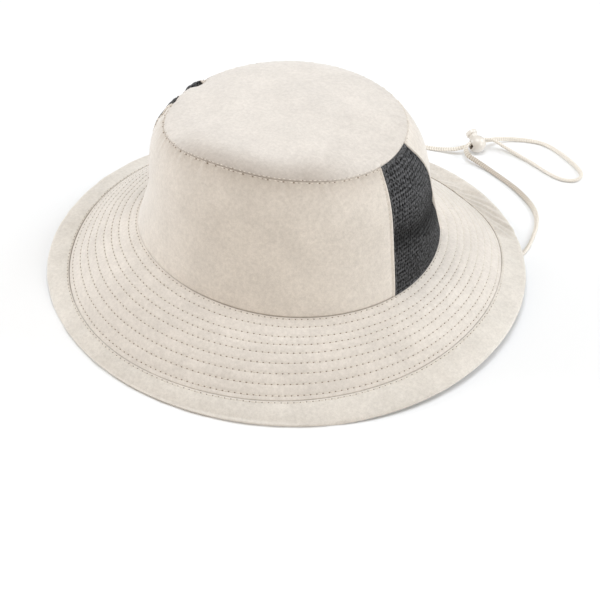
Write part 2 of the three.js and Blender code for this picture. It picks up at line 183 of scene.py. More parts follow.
# The chin cord's route over the floor in millimetres, from its seam at the wearer's left to the one
# at the right. The last column turns the flat cord about its length, in degrees from lying flat.
CORD_ROUTE = [
    (94.1, 8.3, 30, 60), (93.9, 9.5, 13, 60), (96.6, 18, 3.2, 30), (101.5, 28.5, 1.8, 10),
    (127, 80, 1.5, 0), (127, 104, 1.4, 60), (118, 131.5, 1.4, 20), (99, 149.8, 1.4, 0),
    (68, 165.8, 1.6, 0), (56.5, 169, 3.2, 10), (49, 170, 5.4, 20), (44.5, 175.5, 7.2, 28),
    "upper strand",
    (56.8, 195, 7.2, 40), (67, 196.4, 3.0, 60), (84, 191.8, 1.5, 80), (116.5, 181.2, 1.4, 10),
    (125.7, 185.6, 1.4, 30), (126.4, 193.6, 1.4, 70), (107, 209.8, 1.4, 60), (86, 218.3, 1.4, 0),
    (67, 212.6, 1.8, 70), (57, 202.6, 4.2, 50),
    "lower strand",
    (36.2, 174.9, 3.8, 28), (21.5, 171, 1.6, 50), (-10.5, 164, 1.4, 0), (-47.5, 149.5, 1.4, 0),
    (-77, 110, 1.4, 0), (-89.5, 52, 1.4, 0), (-91.8, 28, 1.5, 10), (-93.4, 17, 3.2, 30),
    (-93.9, 9.6, 13, 60), (-94.1, 8.4, 30, 60),
]
STRAND_UP = 1.4
STRAND_APART = 1.35
STRAND_STOPS = (-6.5, -4.0, 4.0, 6.5)
STRAND_TURN = 28.0
CORD_SIDES = 24
ROUTE_STEPS = 60
FLOOR_CLEARANCE = 0.08

# The cord lock's place and directions: the cord runs along its X, the button along its Y
LOCK_CENTRE = Vector((48.8, 185.6, 6.4))
LOCK_HEADING = math.radians(58)
LOCK_RISE = math.radians(28)
BALL_RADIUS = 6.3
BALL_RIM_RADIUS = 4.3
BALL_LIP = 0.3
BORE_RADIUS = 3.6
BORE_FLOOR = -3.6
STEM_RADIUS = 3.3
STEM_FOOT = -1.0
HEAD_RADIUS = 4.1
HEAD_START = 8.0
HEAD_TOP = 11.0
HEAD_FOOT_ROUND = 0.4
HEAD_TOP_ROUND = 0.7
PRESS_TRAVEL = 2.2
SLOT_FOOT = -2.2
SLOT_TOP = 2.8
SLOT_HALF_WIDTH = 2.7
SLOT_CORNER = 1.2
SLOT_REACH = 9
SLOT_MOUTH = (-5.6, 0.3)

# The camera stands where the photograph was taken from
CAMERA_EYE = Vector((354.8, -576.1, 511.3)) * MM
CAMERA_AXIS = Vector((-0.4008, 0.6692, -0.6257))
CAMERA_LENS = 78.27
CAMERA_SENSOR = 36.0

# Soft studio lights: where they hang, their power in watts and their tint
STUDIO_LIGHTS = (
    ("overhead", (0.0, 0.0, 1.6), 11.5, (0.85, 0.92, 1.0)),
    ("back_right", (1.1, 1.1, 1.1), 11, (0.85, 0.92, 1.0)),
    ("left", (-1.6, -0.3, 0.7), 14, (0.85, 0.92, 1.0)),
    ("right", (1.6, -0.2, 0.7), 8.5, (0.9, 0.95, 1.0)),
    ("front_left", (-0.7, -1.6, 0.9), 3, (1.0, 0.85, 0.75)),
)
LIGHT_SIZE = 1.0
LIGHT_AIM = Vector((0, 0, 0.05))
WORLD_TINT = (1, 0.865, 0.685, 1)
WORLD_STRENGTH = 0.42
FLOOR_HALF_SIZE = 6.0
FLOOR_COLOUR = (0.925, 0.935, 0.952)


def read_table(text):
    """A table written as text, as one array for each named column."""
    lines = [line.split() for line in text.strip().splitlines()]
    values = np.array(lines[1:], float)
    return {name: values[:, i] for i, name in enumerate(lines[0])}


sections = read_table(SECTIONS)


def section_value(column, degrees):
    """A section's value at any angle, on one smooth closed curve through the table's rows."""
    rows = sections[column]
    count = len(rows)
    turns = np.mod(np.asarray(degrees, float), 360) / 360 * count
    row = np.floor(turns).astype(int)
    t = turns - row
    a, b, c, d = (rows[(row + step) % count] for step in (-1, 0, 1, 2))
    curve = (2 * a - 5 * b + 4 * c - d) * t**2 + (3 * b - a - 3 * c + d) * t**3
    return 0.5 * (2 * b + (c - a) * t + curve)


def seam(name, degrees):
    """Radius and height of a seam: tip, base, band or rim."""
    return section_value(name + "R", degrees), section_value(name + "Z", degrees)


def wave_sum(waves, share):
    """Waves added up over a length: the first has one arch, the second two, and so on."""
    return sum(height * np.sin((wave + 1) * np.pi * share) for wave, height in enumerate(waves))


def waved_line(start, end, share, waves):
    """Points on the line from one seam to another, pushed out from it by waves over its length."""
    run_r, run_z = end[0] - start[0], end[1] - start[1]
    length = np.hypot(run_r, run_z)
    turn = np.where(run_z > run_r, 1.0, -1.0)
    bulge = wave_sum(waves, share) * turn / length
    return start[0] + run_r * share + run_z * bulge, start[1] + run_z * share - run_r * bulge


def tip_face(degrees, share):
    edge_r, edge_z = seam("tip", degrees)
    fall = share**TIP_FALL_POWER
    roll = TIP_EDGE_ROLL * (fall - share**TIP_ROLL_POWER)
    return edge_r * share, TIP_DOME_TOP + (edge_z - TIP_DOME_TOP) * fall + roll


def wall_face(degrees, share):
    waves = (section_value("bulge", degrees), -section_value("roll", degrees), WALL_RIPPLE)
    return waved_line(seam("base", degrees), seam("tip", degrees), share, waves)


def brim_face(degrees, share):
    return waved_line(seam("base", degrees), seam("band", degrees), share, BRIM_WAVES)


def band_face(degrees, share):
    cup = -section_value("cup", degrees)
    return waved_line(seam("band", degrees), seam("rim", degrees), share, (cup,))


def section_normal(face, degrees, share):
    """The face's outward direction in its section. The wall rises, the other faces run outwards."""
    step = 0.004
    r0, z0 = face(degrees, np.clip(share - step, 0, 1))
    r1, z1 = face(degrees, np.clip(share + step, 0, 1))
    run_r, run_z = r1 - r0, z1 - z0
    length = np.hypot(run_r, run_z) * (1 if face is wall_face else -1)
    return run_z / length, -run_r / length


def stand(degrees, r, z):
    """Radius and height as points, in millimetres."""
    angle = np.radians(degrees)
    return np.stack([r * np.sin(angle), -r * np.cos(angle), z], -1)


def lifted(face, degrees, share, lift, rests=False):
    """Points on a face, lifted off it by some millimetres. Cloth that rests is pressed flat by the
    floor where its outer face would come lower than its thickness."""
    r, z = face(degrees, share)
    out_r, out_z = section_normal(face, degrees, share)
    if rests:
        z = np.maximum(np.maximum(z, BRIM_CLOTH) + out_z * lift, 0.0)
    else:
        z = z + out_z * lift
    return stand(degrees, r + out_r * lift, z)


def wave_draws(seed, count, headings, longest, shortest):
    """Waves per millimetre along and across, and phases, of random waves, the same on each run."""
    draw = np.random.default_rng(seed)
    for _ in range(count):
        per_mm = 2 * np.pi / draw.uniform(shortest, longest)
        heading = draw.uniform(*headings)
        yield per_mm * math.cos(heading), per_mm * math.sin(heading), draw.uniform(0, 2 * np.pi)


def waves_at(u, v, seed, count, longest, shortest):
    """Soft random waves between about -1 and 1 over two lengths in millimetres."""
    draws = wave_draws(seed, count, (0, np.pi), longest, shortest)
    total = sum(np.cos(u * along + v * across + phase) for along, across, phase in draws)
    return total / math.sqrt(count)


def waves_round(degrees, v, radius, seed, count, longest, shortest):
    """The same soft waves on a ring of some radius, which meet themselves after a whole turn."""
    draws = wave_draws(seed, count, (-1.1, 1.1), longest, shortest)
    total = sum(np.cos(np.radians(degrees) * max(1, round(radius * along)) + v * across + phase)
                for along, across, phase in draws)
    return total / math.sqrt(count)


def from_front(degrees):
    """The same angles counted from -180 to 180, with the front at 0."""
    return np.mod(degrees + 180, 360) - 180


def eased(t):
    return t * t * (3 - 2 * t)


def window(value, low, high, soft):
    """1 between low and high, falling to 0 over soft on both sides."""
    up = np.clip((value - low + soft) / soft, 0, 1)
    down = np.clip((high + soft - value) / soft, 0, 1)
    return eased(np.minimum(up, down))


def hump(value, middle, reach):
    """1 at the middle, fading softly over the reach on both sides."""
    return np.exp(-(((value - middle) / reach) ** 2))


def turned_edge(distance, radius):
    """How far a rolled edge drops, in millimetres, at some distance inside the edge."""
    inside = np.clip(1 - distance / radius, 0, 1)
    return radius * (1 - np.sqrt(1 - inside**2))


def unit(vectors):
    return vectors / np.maximum(np.linalg.norm(vectors, axis=-1, keepdims=True), 1e-9)


# Mesh making


def new_object(name, data):
    piece = bpy.data.objects.new(name, data)
    bpy.context.scene.collection.objects.link(piece)
    return piece


def add_values(mesh, name, values, kind="FLOAT"):
    """Keeps one number or one vector for each point of a mesh."""
    layer = mesh.attributes.new(name, kind, "POINT")
    key = "vector" if kind == "FLOAT_VECTOR" else "value"
    layer.data.foreach_set(key, np.asarray(values, np.float32).ravel())


def mesh_object(name, points, faces, shade=None):
    """An object from points in millimetres, with its faces turned outwards. Shade is painted shade:
    how much darker its material is painted at each point, from 0 to 1."""
    mesh = bpy.data.meshes.new(name)
    mesh.from_pydata((np.asarray(points, float) * MM).tolist(), [], faces)
    if shade is not None:
        add_values(mesh, "shade", shade)
    work = bmesh.new()
    work.from_mesh(mesh)
    bmesh.ops.remove_doubles(work, verts=work.verts, dist=1e-7)
    bmesh.ops.recalc_face_normals(work, faces=work.faces)
    work.to_mesh(mesh)
    work.free()
    mesh.shade_smooth()
    return new_object(name, mesh)


def grid_faces(stations, rows, round_stations=True, round_rows=True):
    """Four-sided faces between the points of a grid, which may close on itself either way."""
    faces = []
    for k in range(stations if round_stations else stations - 1):
        a, b = k * rows, (k + 1) % stations * rows
        for i in range(rows if round_rows else rows - 1):
            j = (i + 1) % rows
            faces.append((a + i, b + i, b + j, a + j))
    return faces


def bar_faces(rings, sides):
    """The faces of a closed bar: its rings of points joined up, and a cap at each end."""
    faces = grid_faces(rings, sides, round_stations=False)
    return faces + [tuple(range(sides)), tuple(range((rings - 1) * sides, rings * sides))]


def cloth_piece(name, form, outer, inner, shade=None):
    """A piece of cloth from its outer and inner faces, each stations by rows by 3: a ring, a panel
    with four edges, or a disc, where both faces start with a row of points at the middle."""
    loops = np.concatenate([outer, inner[:, ::-1]], axis=1)
    stations, rows, _ = loops.shape
    if shade is not None:
        shade = np.concatenate([shade, np.zeros(inner.shape[:2])], axis=1)
    faces = grid_faces(stations, rows, form != "panel", form != "disc")
    if form == "panel":
        for start in (0, (stations - 1) * rows):
            for i in range(rows // 2 - 1):
                back = start + rows - 1 - i
                faces.append((start + i, start + i + 1, back - 1, back))
    return mesh_object(name, loops.reshape(-1, 3), faces, shade)


def ride_piece(piece, slot, replaces=(), body=HAT_BODY):
    """Attaches a finished piece to the body it moves with, and hides the parts it replaces. Its material
    slot is not used.
    """
    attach(piece, body)
    if replaces:
        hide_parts(*replaces)


def finish_piece(piece, material, slot, replaces=(), body=HAT_BODY):
    """Gives a piece its material, and says the rest about it."""
    piece.data.materials.clear()
    piece.data.materials.append(material)
    ride_piece(piece, slot, replaces, body)


# Materials


def node(tree, kind, settings=None, **inputs):
    made = tree.nodes.new(kind)
    for key, value in (settings or {}).items():
        setattr(made, key, value)
    for key, value in inputs.items():
        made.inputs[key.replace("_", " ")].default_value = value
    return made


def noise(tree, scale, detail=2.0, roughness=0.5):
    """Noise on the object's own coordinates. Scale is counted for each metre."""
    place = node(tree, "ShaderNodeTexCoord")
    pattern = node(tree, "ShaderNodeTexNoise", Scale=scale, Detail=detail, Roughness=roughness)
    tree.links.new(place.outputs["Object"], pattern.inputs["Vector"])
    return pattern.outputs["Fac"]


def ramp(tree, value, low_colour, high_colour, low=0.3, high=0.7):
    made = node(tree, "ShaderNodeValToRGB")
    stops = (low, low_colour), (high, high_colour)
    for element, (position, colour) in zip(made.color_ramp.elements, stops):
        element.position = position
        element.color = (*colour, 1)
    tree.links.new(value, made.inputs["Fac"])
    return made.outputs["Color"]


def multiply(tree, first, second):
    made = node(tree, "ShaderNodeMix", {"data_type": "RGBA", "blend_type": "MULTIPLY"}, Factor=1.0)
    tree.links.new(first, made.inputs["A"])
    tree.links.new(second, made.inputs["B"])
    return made.outputs["Result"]


def speckle(tree, colour, grain, dark, light, low=0.3, high=0.7):
    """The colour in specks between darker and lighter. Grain is a noise's settings."""
    tones = (tuple(min(1.0, channel * factor) for channel in colour) for factor in (dark, light))
    return ramp(tree, noise(tree, *grain), *tones, low, high)


def surface(name, paint, bumps, deepest=(0.25, 0.18, 0.12), **values):
    """A material with a painted colour, which the painted shade kept on a mesh darkens as far as the
    deepest tone in its creases. Bumps are pairs of a noise's settings and a depth in metres."""
    material = bpy.data.materials.new(name)
    material.use_nodes = True
    tree = material.node_tree
    shader = tree.nodes["Principled BSDF"]
    shade = node(tree, "ShaderNodeAttribute", {"attribute_name": "shade"}).outputs["Fac"]
    tone = ramp(tree, shade, (1, 1, 1), deepest, 0.0, 1.0)
    tree.links.new(multiply(tree, paint(tree), tone), shader.inputs["Base Color"])
    for key, value in values.items():
        shader.inputs[key.replace("_", " ")].default_value = value
    normal = shader.inputs["Normal"]
    for grain, depth in reversed(bumps):
        made = node(tree, "ShaderNodeBump", Strength=1.0, Distance=depth)
        tree.links.new(noise(tree, *grain), made.inputs["Height"])
        tree.links.new(made.outputs["Normal"], normal)
        normal = made.inputs["Normal"]
    return material


def microfibre(name, colour):
    """Soft brushed cloth: a fine grain of fibres, a slight mottle where the fibres lie over, and a soft
    sheen.
    """

    def paint(tree):
        nap_grain_and_painted_shade = ramp(tree, noise(tree, 420, 5, 0.85), (0.83, 0.825, 0.82), (1, 1, 1), 0.36, 0.64)
        return multiply(tree, speckle(tree, colour, (55, 3), 0.95, 1.05), nap_grain_and_painted_shade)

    return surface(name, paint, [((160, 3, 0.6), 0.00025), ((1500, 2, 0.7), 0.00012)],
                   Roughness=0.92, Specular_IOR_Level=0.2, Sheen_Weight=0.7, Sheen_Roughness=0.45)


def sewing_thread(name, colour, roughness=0.7):
    """Twisted sewing thread."""
    return surface(name, lambda tree: speckle(tree, colour, (3000, 1, 0.5), 0.8, 1.1),
                   [((3000, 1, 0.5), 0.0001)], Roughness=roughness, Specular_IOR_Level=0.3)


def needle_pinch(name, colour):
    """The dull shaded cloth at a needle hole."""
    return sewing_thread(name, colour, 0.95)


def knit_yarn(name, colour):
    """Dull synthetic yarn of the air mesh."""
    return surface(name, lambda tree: speckle(tree, colour, (700, 3), 0.25, 2.35, 0.36, 0.66),
                   [((4500, 2), 0.00008)], (0.22, 0.22, 0.22), Roughness=0.7,
                   Specular_IOR_Level=0.16, Sheen_Weight=0.05)


def braid_fibre(name, colour):
    """Matt fibre of the braided cord."""
    return surface(name, lambda tree: speckle(tree, colour, (1300, 3), 0.86, 1.08),
                   [((5200, 2), 0.00006)], Roughness=0.8, Specular_IOR_Level=0.25,
                   Sheen_Weight=0.2)


def pearl_plastic(name, colour):
    """Moulded plastic with a soft pearl gloss and a slight cloudiness."""
    return surface(name, lambda tree: speckle(tree, colour, (180, 2), 0.95, 1.04),
                   [((900, 2), 0.00001)], Roughness=0.28, Coat_Weight=0.9, Coat_Roughness=0.25)


def studio_floor(name, colour):
    return surface(name, lambda tree: speckle(tree, colour, (6, 2), 0.995, 1.0), [], Roughness=0.9)


# Repeats along paths

SIZE_SPREAD = 0.06
REPEAT_SEED = 7


def live_socket(sockets, name):
    """The socket of that name which the node's present kind of value uses."""
    return next(socket for socket in sockets if socket.name == name and socket.enabled)


def repeat_tree(name):
    """Sets one small object along paths, turned to their way and to the surface under them."""
    tree = bpy.data.node_groups.new(name, "GeometryNodeTree")
    sockets = (("Geometry", "Geometry", "INPUT"), ("Piece", "Object", "INPUT"),
               ("Pitch", "Float", "INPUT"), ("Size Spread", "Float", "INPUT"),
               ("Material", "Material", "INPUT"), ("Geometry", "Geometry", "OUTPUT"))
    for label, kind, direction in sockets:
        tree.interface.new_socket(label, in_out=direction, socket_type="NodeSocket" + kind)
    given, result = node(tree, "NodeGroupInput"), node(tree, "NodeGroupOutput")
    named, align = "GeometryNodeInputNamedAttribute", "FunctionNodeAlignRotationToVector"
    up = node(tree, named, {"data_type": "FLOAT_VECTOR"}, Name="up")
    scale = node(tree, named, {"data_type": "FLOAT"}, Name="scale")
    curve = node(tree, "GeometryNodeMeshToCurve")
    evened = node(tree, "GeometryNodeResampleCurve", {"mode": "LENGTH"})
    way = node(tree, "GeometryNodeInputTangent")
    turn = node(tree, align, {"axis": "X"})
    level = node(tree, align, {"axis": "Z", "pivot_axis": "X"})
    smallest = node(tree, "ShaderNodeMath", {"operation": "SUBTRACT"})
    smallest.inputs[0].default_value = 1.0
    size = node(tree, "FunctionNodeRandomValue", Seed=REPEAT_SEED)
    live_socket(size.inputs, "Max").default_value = 1.0
    whole = node(tree, "ShaderNodeMath", {"operation": "MULTIPLY"})
    source = node(tree, "GeometryNodeObjectInfo")
    placed = node(tree, "GeometryNodeInstanceOnPoints")
    real = node(tree, "GeometryNodeRealizeInstances")
    finish = node(tree, "GeometryNodeSetMaterial")
    links = (
        (given, "Geometry", curve, "Mesh"), (curve, "Curve", evened, "Curve"),
        (given, "Pitch", evened, "Length"), (way, "Tangent", turn, "Vector"),
        (turn, "Rotation", level, "Rotation"), (up, "Attribute", level, "Vector"),
        (given, "Size Spread", smallest, 1), (scale, "Attribute", whole, 1),
        (given, "Piece", source, "Object"), (evened, "Curve", placed, "Points"),
        (source, "Geometry", placed, "Instance"), (level, "Rotation", placed, "Rotation"),
        (whole, 0, placed, "Scale"), (placed, "Instances", real, "Geometry"),
        (real, "Geometry", finish, "Geometry"), (given, "Material", finish, "Material"),
        (finish, "Geometry", result, "Geometry"),
    )
    for sender, output, taker, entry in links:
        tree.links.new(sender.outputs[output], taker.inputs[entry])
    tree.links.new(smallest.outputs[0], live_socket(size.inputs, "Min"))
    tree.links.new(live_socket(size.outputs, "Value"), whole.inputs[0])
    return tree


def path_mesh(rows, fade=None):
    """Paths to sew along, as one mesh of edges. Each row is its points, its up directions and
    whether it closes on itself. Fade says how much smaller things are at each angle."""
    edges, start = [], 0
    for points, _, closed in rows:
        end = start + len(points)
        edges += [(i, i + 1) for i in range(start, end - 1)]
        if closed:
            edges.append((end - 1, start))
        start = end
    places = np.concatenate([points for points, _, _ in rows])
    degrees = np.degrees(np.arctan2(places[:, 0], -places[:, 1])) % 360
    mesh = bpy.data.meshes.new("path")
    mesh.from_pydata((places * MM).tolist(), edges, [])
    add_values(mesh, "up", np.concatenate([ups for _, ups, _ in rows]), "FLOAT_VECTOR")
    add_values(mesh, "scale", 1 - fade(degrees) if fade else np.ones(len(places)))
    return mesh


def repeat_along(name, mesh, piece, pitch, material):
    """Runs the repeat tree on a mesh of paths, and keeps the result as a plain mesh."""
    guide = new_object(name + "_guide", mesh)
    modifier = guide.modifiers.new("repeat", "NODES")
    tree = bpy.data.node_groups.get("along_path") or repeat_tree("along_path")
    modifier.node_group = tree
    values = {"Piece": piece, "Pitch": pitch * MM, "Size Spread": SIZE_SPREAD, "Material": material}
    for item in tree.interface.items_tree:
        if item.in_out == "INPUT" and item.name in values:
            modifier[item.identifier] = values[item.name]
    evaluated = guide.evaluated_get(bpy.context.evaluated_depsgraph_get())
    result = bpy.data.meshes.new_from_object(evaluated)
    if not result.polygons:
        raise RuntimeError(f"{name}: the repeat made nothing")
    guide.modifiers.remove(modifier)
    bpy.data.objects.remove(guide)
    bpy.data.objects.remove(piece)
    result.name = name
    result.shade_smooth()
    return new_object(name, result)


def circle(count):
    """Points of a circle with radius 1."""
    turns = 2 * np.pi * np.arange(count) / count
    return np.stack([np.cos(turns), np.sin(turns)], -1)


def stitch_unit(length, thickness, sides=6, rings=5):
    """One stitch: a short thread along X that dips into the cloth at both ends."""
    points = []
    for t in np.linspace(0, 1, rings):
        arch = math.sin(math.pi * (0.1 + 0.8 * t))
        height, wide = thickness * (arch - 0.75), thickness / 2 * (0.55 + 0.45 * arch)
        points += [((t - 0.5) * length, wide * x, height + wide * y) for x, y in circle(sides)]
    return mesh_object("stitch", points, bar_faces(rings, sides))


def needle_hole_unit(offset, size, sides=8):
    """The pinch that a needle leaves between two stitches: a very low oval mound, which the needle pinch
    material darkens with painted shade.
    """
    oval = circle(sides) * (size / 2, 0.72 * size / 2)
    points = [(offset + x * share, y * share, height)
              for share, height in ((1, -0.3), (0.6, 0.16 * size)) for x, y in oval]
    return mesh_object("needle_hole", points, bar_faces(2, sides))


def sewing_row(face, degrees, shares, lift, closed=False, rests=False):
    """A row to sew along on a face: its points, its up directions and whether it closes."""
    ups = stand(degrees, *section_normal(face, degrees, shares))
    return lifted(face, degrees, shares, lift, rests), ups, closed


def round_row(face, share, lift, start=0.0, end=360.0, rests=False, step=0.75):
    """A row to sew along round the hat, on a face at one share."""
    closed = end - start >= 360
    degrees = np.arange(start, end if closed else end + step / 2, step)
    shares = np.full_like(degrees, share)
    return sewing_row(face, degrees, shares, lift(degrees, shares), closed, rests)


# Relief of the cloth, in millimetres off each face


def local_forms(table, degrees, from_seam):
    """The forms at single places, added up."""
    return sum(height * window(from_front(degrees), low, high, soft) * hump(from_seam, middle, reach)
               for height, low, high, soft, middle, reach in zip(*read_table(table).values()))


def seam_gathers(degrees, inside, seed, height, reach):
    """Small gathers square to the tip seam, which fade away from it."""
    ripples = waves_round(degrees, 0.0, TIP_RADIUS, seed, 6, 9.0, 3.5)
    return height * ripples * np.exp(-inside / reach) * np.clip(inside / 0.8, 0, 1)


def tip_relief(degrees, share):
    """Soft hollows of the top panel, gathers at its seam, the fall towards the front, and its edge
    over the right mesh, which the mesh pushes down at one place and which stands full beside it."""
    x = share * TIP_RADIUS * np.sin(np.radians(degrees))
    y = -share * TIP_RADIUS * np.cos(np.radians(degrees))
    inside = (1 - share) * TIP_RADIUS
    soft = 0.35 * waves_at(x, y, 3, 7, 70, 30) * np.clip(inside / 10, 0, 1)
    gathers = seam_gathers(degrees, inside, 11, 0.2, 4.5)
    return soft + gathers + local_forms(TIP_FORMS, degrees, inside)


def wall_relief(degrees, share):
    """Soft dents of the crown wall, gathers under the tip seam, and the right mesh's upper edge,
    which stands out over the seam and leaves rumples in the cloth beside it."""
    up = share * WALL_HEIGHT
    below_tip = WALL_HEIGHT - up
    dents = 0.55 * waves_at(np.radians(degrees) * WALL_RADIUS, up, 21, 8, 110, 45)
    gathers = seam_gathers(degrees, below_tip, 12, 0.25, 5.5)
    rumples = 0.7 * window(from_front(degrees), -74, -62, 5) * np.exp(-below_tip / 9) * (
        np.sin(np.radians(degrees) * 62 + 0.5 * below_tip))
    edge = (local_forms(WALL_FORMS, degrees, below_tip) + rumples) * np.clip(below_tip / 1.5, 0, 1)
    return dents * np.clip(below_tip / 12, 0, 1) * np.clip(up / 12, 0, 1) + gathers + edge


def above_crease(degrees, share):
    """How far up from the slanted crease across a mesh panel, in millimetres."""
    return share * WALL_HEIGHT + 0.29 * (np.abs(from_front(degrees)) - 96) - 31


def mesh_relief(degrees, share):
    """The wall's relief carried on over the mesh, and the crease that lies across it."""
    return wall_relief(degrees, share) - 1.1 * hump(above_crease(degrees, share), 0, 5)


def brim_ripple(degrees, share):
    """Soft ripples of the brim's cloth, which end at its seams."""
    out = share * BRIM_WIDTH
    ripple = 0.16 * waves_round(degrees, out, BRIM_RADIUS, 31, 6, 60, 25)
    return ripple * np.clip(out / 4, 0, 1) * np.clip((BRIM_WIDTH - out) / 3, 0, 1)


def row_lift(degrees, share):
    """How far off the brim's face a row of stitches lies. The one at the base seam draws nothing."""
    quilted = np.asarray(share) > BRIM_STITCH_ROWS[0]
    return brim_ripple(degrees, share) - (QUILT_DEPTH + PILLOW_DEPTH) * quilted


def brim_row(share):
    return round_row(brim_face, share, row_lift, rests=True, step=0.5)


def run_along(points):
    """How far along a line each of its points lies."""
    return np.concatenate([[0], np.cumsum(np.linalg.norm(np.diff(points, axis=0), axis=1))])


def row_turns(share, degrees):
    """How far round a row of stitches each angle lies, from 0 to 1, and how many stitches it has."""
    points, _, _ = brim_row(share)
    run = run_along(np.vstack([points, points[:1]]))
    turns = np.interp(np.mod(degrees, 360), np.linspace(0, 360, len(run)), run / run[-1])
    return turns, math.floor(run[-1] / STITCH_PITCH) + 1


def brim_relief(degrees, share):
    """Quilting: each row of stitches draws the cloth down, most of all where the needle went in,
    and the cloth stands up like a pillow between two rows."""
    relief = brim_ripple(degrees, share)
    for row in BRIM_STITCH_ROWS[1:]:
        turns, stitches = row_turns(row, degrees)
        from_row = (share - row) * BRIM_WIDTH
        tug = 1 - QUILT_DIMPLE * np.cos(2 * np.pi * turns * stitches)
        relief = relief - QUILT_DEPTH * tug * hump(from_row, 0, QUILT_GROOVE)
        relief = relief - PILLOW_DEPTH * hump(from_row, 0, PILLOW_WIDTH)
    return relief


def band_relief(degrees, share):
    """Slanting folds at the left rear of the band, a dent at its right, and lighter rumples."""
    out = share * BAND_WIDTH
    run = degrees + 14 * share + 1.6 * np.sin(np.radians(degrees) * 11 + 1)
    folds = 0.5 * waves_round(run, 0.35 * out, BAND_RADIUS, 44, 9, 24, 8)
    dent = 0.5 * hump(degrees - 5 * share, 274, 2.2)
    rumples = 0.2 * waves_round(degrees, out * 1.5, BAND_RADIUS, 42, 6, 26, 9)
    return (folds * window(degrees, 132, 172, 8) - dent + rumples) * np.clip(out / 2.5, 0, 1)


# Seams


def mitred_corner(degrees, name, share, face, cloth):
    """The inner corner of a seam, where the inner faces of the wall and of the other cloth cross.
    Both faces meet the seam at the same share, and the other cloth has its own thickness."""
    a = section_normal(wall_face, degrees, np.full_like(degrees, share))
    b = section_normal(face, degrees, np.full_like(degrees, share))
    radius, height = seam(name, degrees)
    det = a[0] * b[1] - a[1] * b[0]
    return (radius + (cloth * a[1] - CROWN_CLOTH * b[1]) / det,
            height + (CROWN_CLOTH * b[0] - cloth * a[0]) / det)


def corner_at_tip(degrees):
    return mitred_corner(degrees, "tip", 1.0, tip_face, CROWN_CLOTH)


def corner_at_base(degrees):
    return mitred_corner(degrees, "base", 0.0, brim_face, BRIM_CLOTH)


def corner_at_band(degrees):
    """Brim and band are one thickness, so their mitre is the mean of their two directions."""
    brim_side = section_normal(brim_face, degrees, np.ones_like(degrees))
    band_side = section_normal(band_face, degrees, np.zeros_like(degrees))
    mean = np.array(brim_side) + np.array(band_side)
    mean /= np.hypot(*mean)
    reach = BRIM_CLOTH / (mean * np.array(band_side)).sum(0)
    radius, height = seam("band", degrees)
    return radius - mean[0] * reach, height - mean[1] * reach


def draw_back(rows, *ends):
    """Draws the outermost rows back from a seam, so that two cloths don't touch there."""
    for end in ends:
        edge, before = (-1, -2) if end else (0, 1)
        rows[:, edge] += unit(rows[:, before] - rows[:, edge]) * SEAM_DRAW
    return rows


# Crown


def make_crown_tip():
    degrees = np.arange(0, 360, TIP_STATION)
    grid, share = np.meshgrid(degrees, TIP_SHARES, indexing="ij")
    to_seam = (1 - share) * TIP_RADIUS
    outer = lifted(tip_face, grid, share, tip_relief(grid, share) - turned_edge(to_seam, 0.6))
    inner = lifted(tip_face, *np.meshgrid(degrees, np.linspace(0, 0.96, 14), indexing="ij"),
                   -CROWN_CLOTH)
    corner = stand(degrees, *corner_at_tip(degrees))[:, None]
    inner = np.concatenate([inner, corner], axis=1)
    # Painted shade: the top is darkened towards its front edge, where it falls away from the light, and
    # along its seam.
    nap_grain_and_painted_shade = 0.42 * window(from_front(grid), -12, 40, 34) * hump(to_seam, 0, 15)
    shade = 0.1 * hump(to_seam, 0, 0.5) + 0.05 * np.exp(-to_seam / 3) + nap_grain_and_painted_shade
    return cloth_piece("crown_tip_cloth", "disc", draw_back(outer, 1), draw_back(inner, 1), shade)


def edge_at(edge, share):
    """The angle of a mesh panel's edge at some height of the wall."""
    straight = edge["base"] + (edge["tip"] - edge["base"]) * share
    return straight + wave_sum(edge["waves"], share)


def mirrored(edge, turn):
    """The same edge on the hat's other side."""
    waves = tuple(-height for height in edge["waves"])
    return {"base": turn - edge["base"], "tip": turn - edge["tip"], "waves": waves}


def panel_grid(start, end):
    """Angles and shares over a wall panel between two slanted edges, crowded at the edges, and how
    far each point lies from the nearer edge, in millimetres."""
    a, b = edge_at(start, WALL_SHARES), edge_at(end, WALL_SHARES)
    radius, _ = wall_face((a + b) / 2, WALL_SHARES)
    trim = np.degrees(HALF_SEAM / radius)
    a, b = a + trim, b - trim
    wide = np.radians(b - a) * radius
    first = EDGE_STEPS[-1] / wide.min()
    middle = np.linspace(first, 1 - first, PANEL_STATIONS)[:, None] + 0 * wide
    near = EDGE_STEPS[:-1, None] / wide
    u = np.concatenate([near, middle, 1 - near[::-1]])
    return a + (b - a) * u, np.broadcast_to(WALL_SHARES, u.shape), np.minimum(u, 1 - u) * wide


def base_crease(degrees):
    """How much painted shade darkens the crease of the base seam at each angle."""
    return window(from_front(degrees), 4, 70, 34)


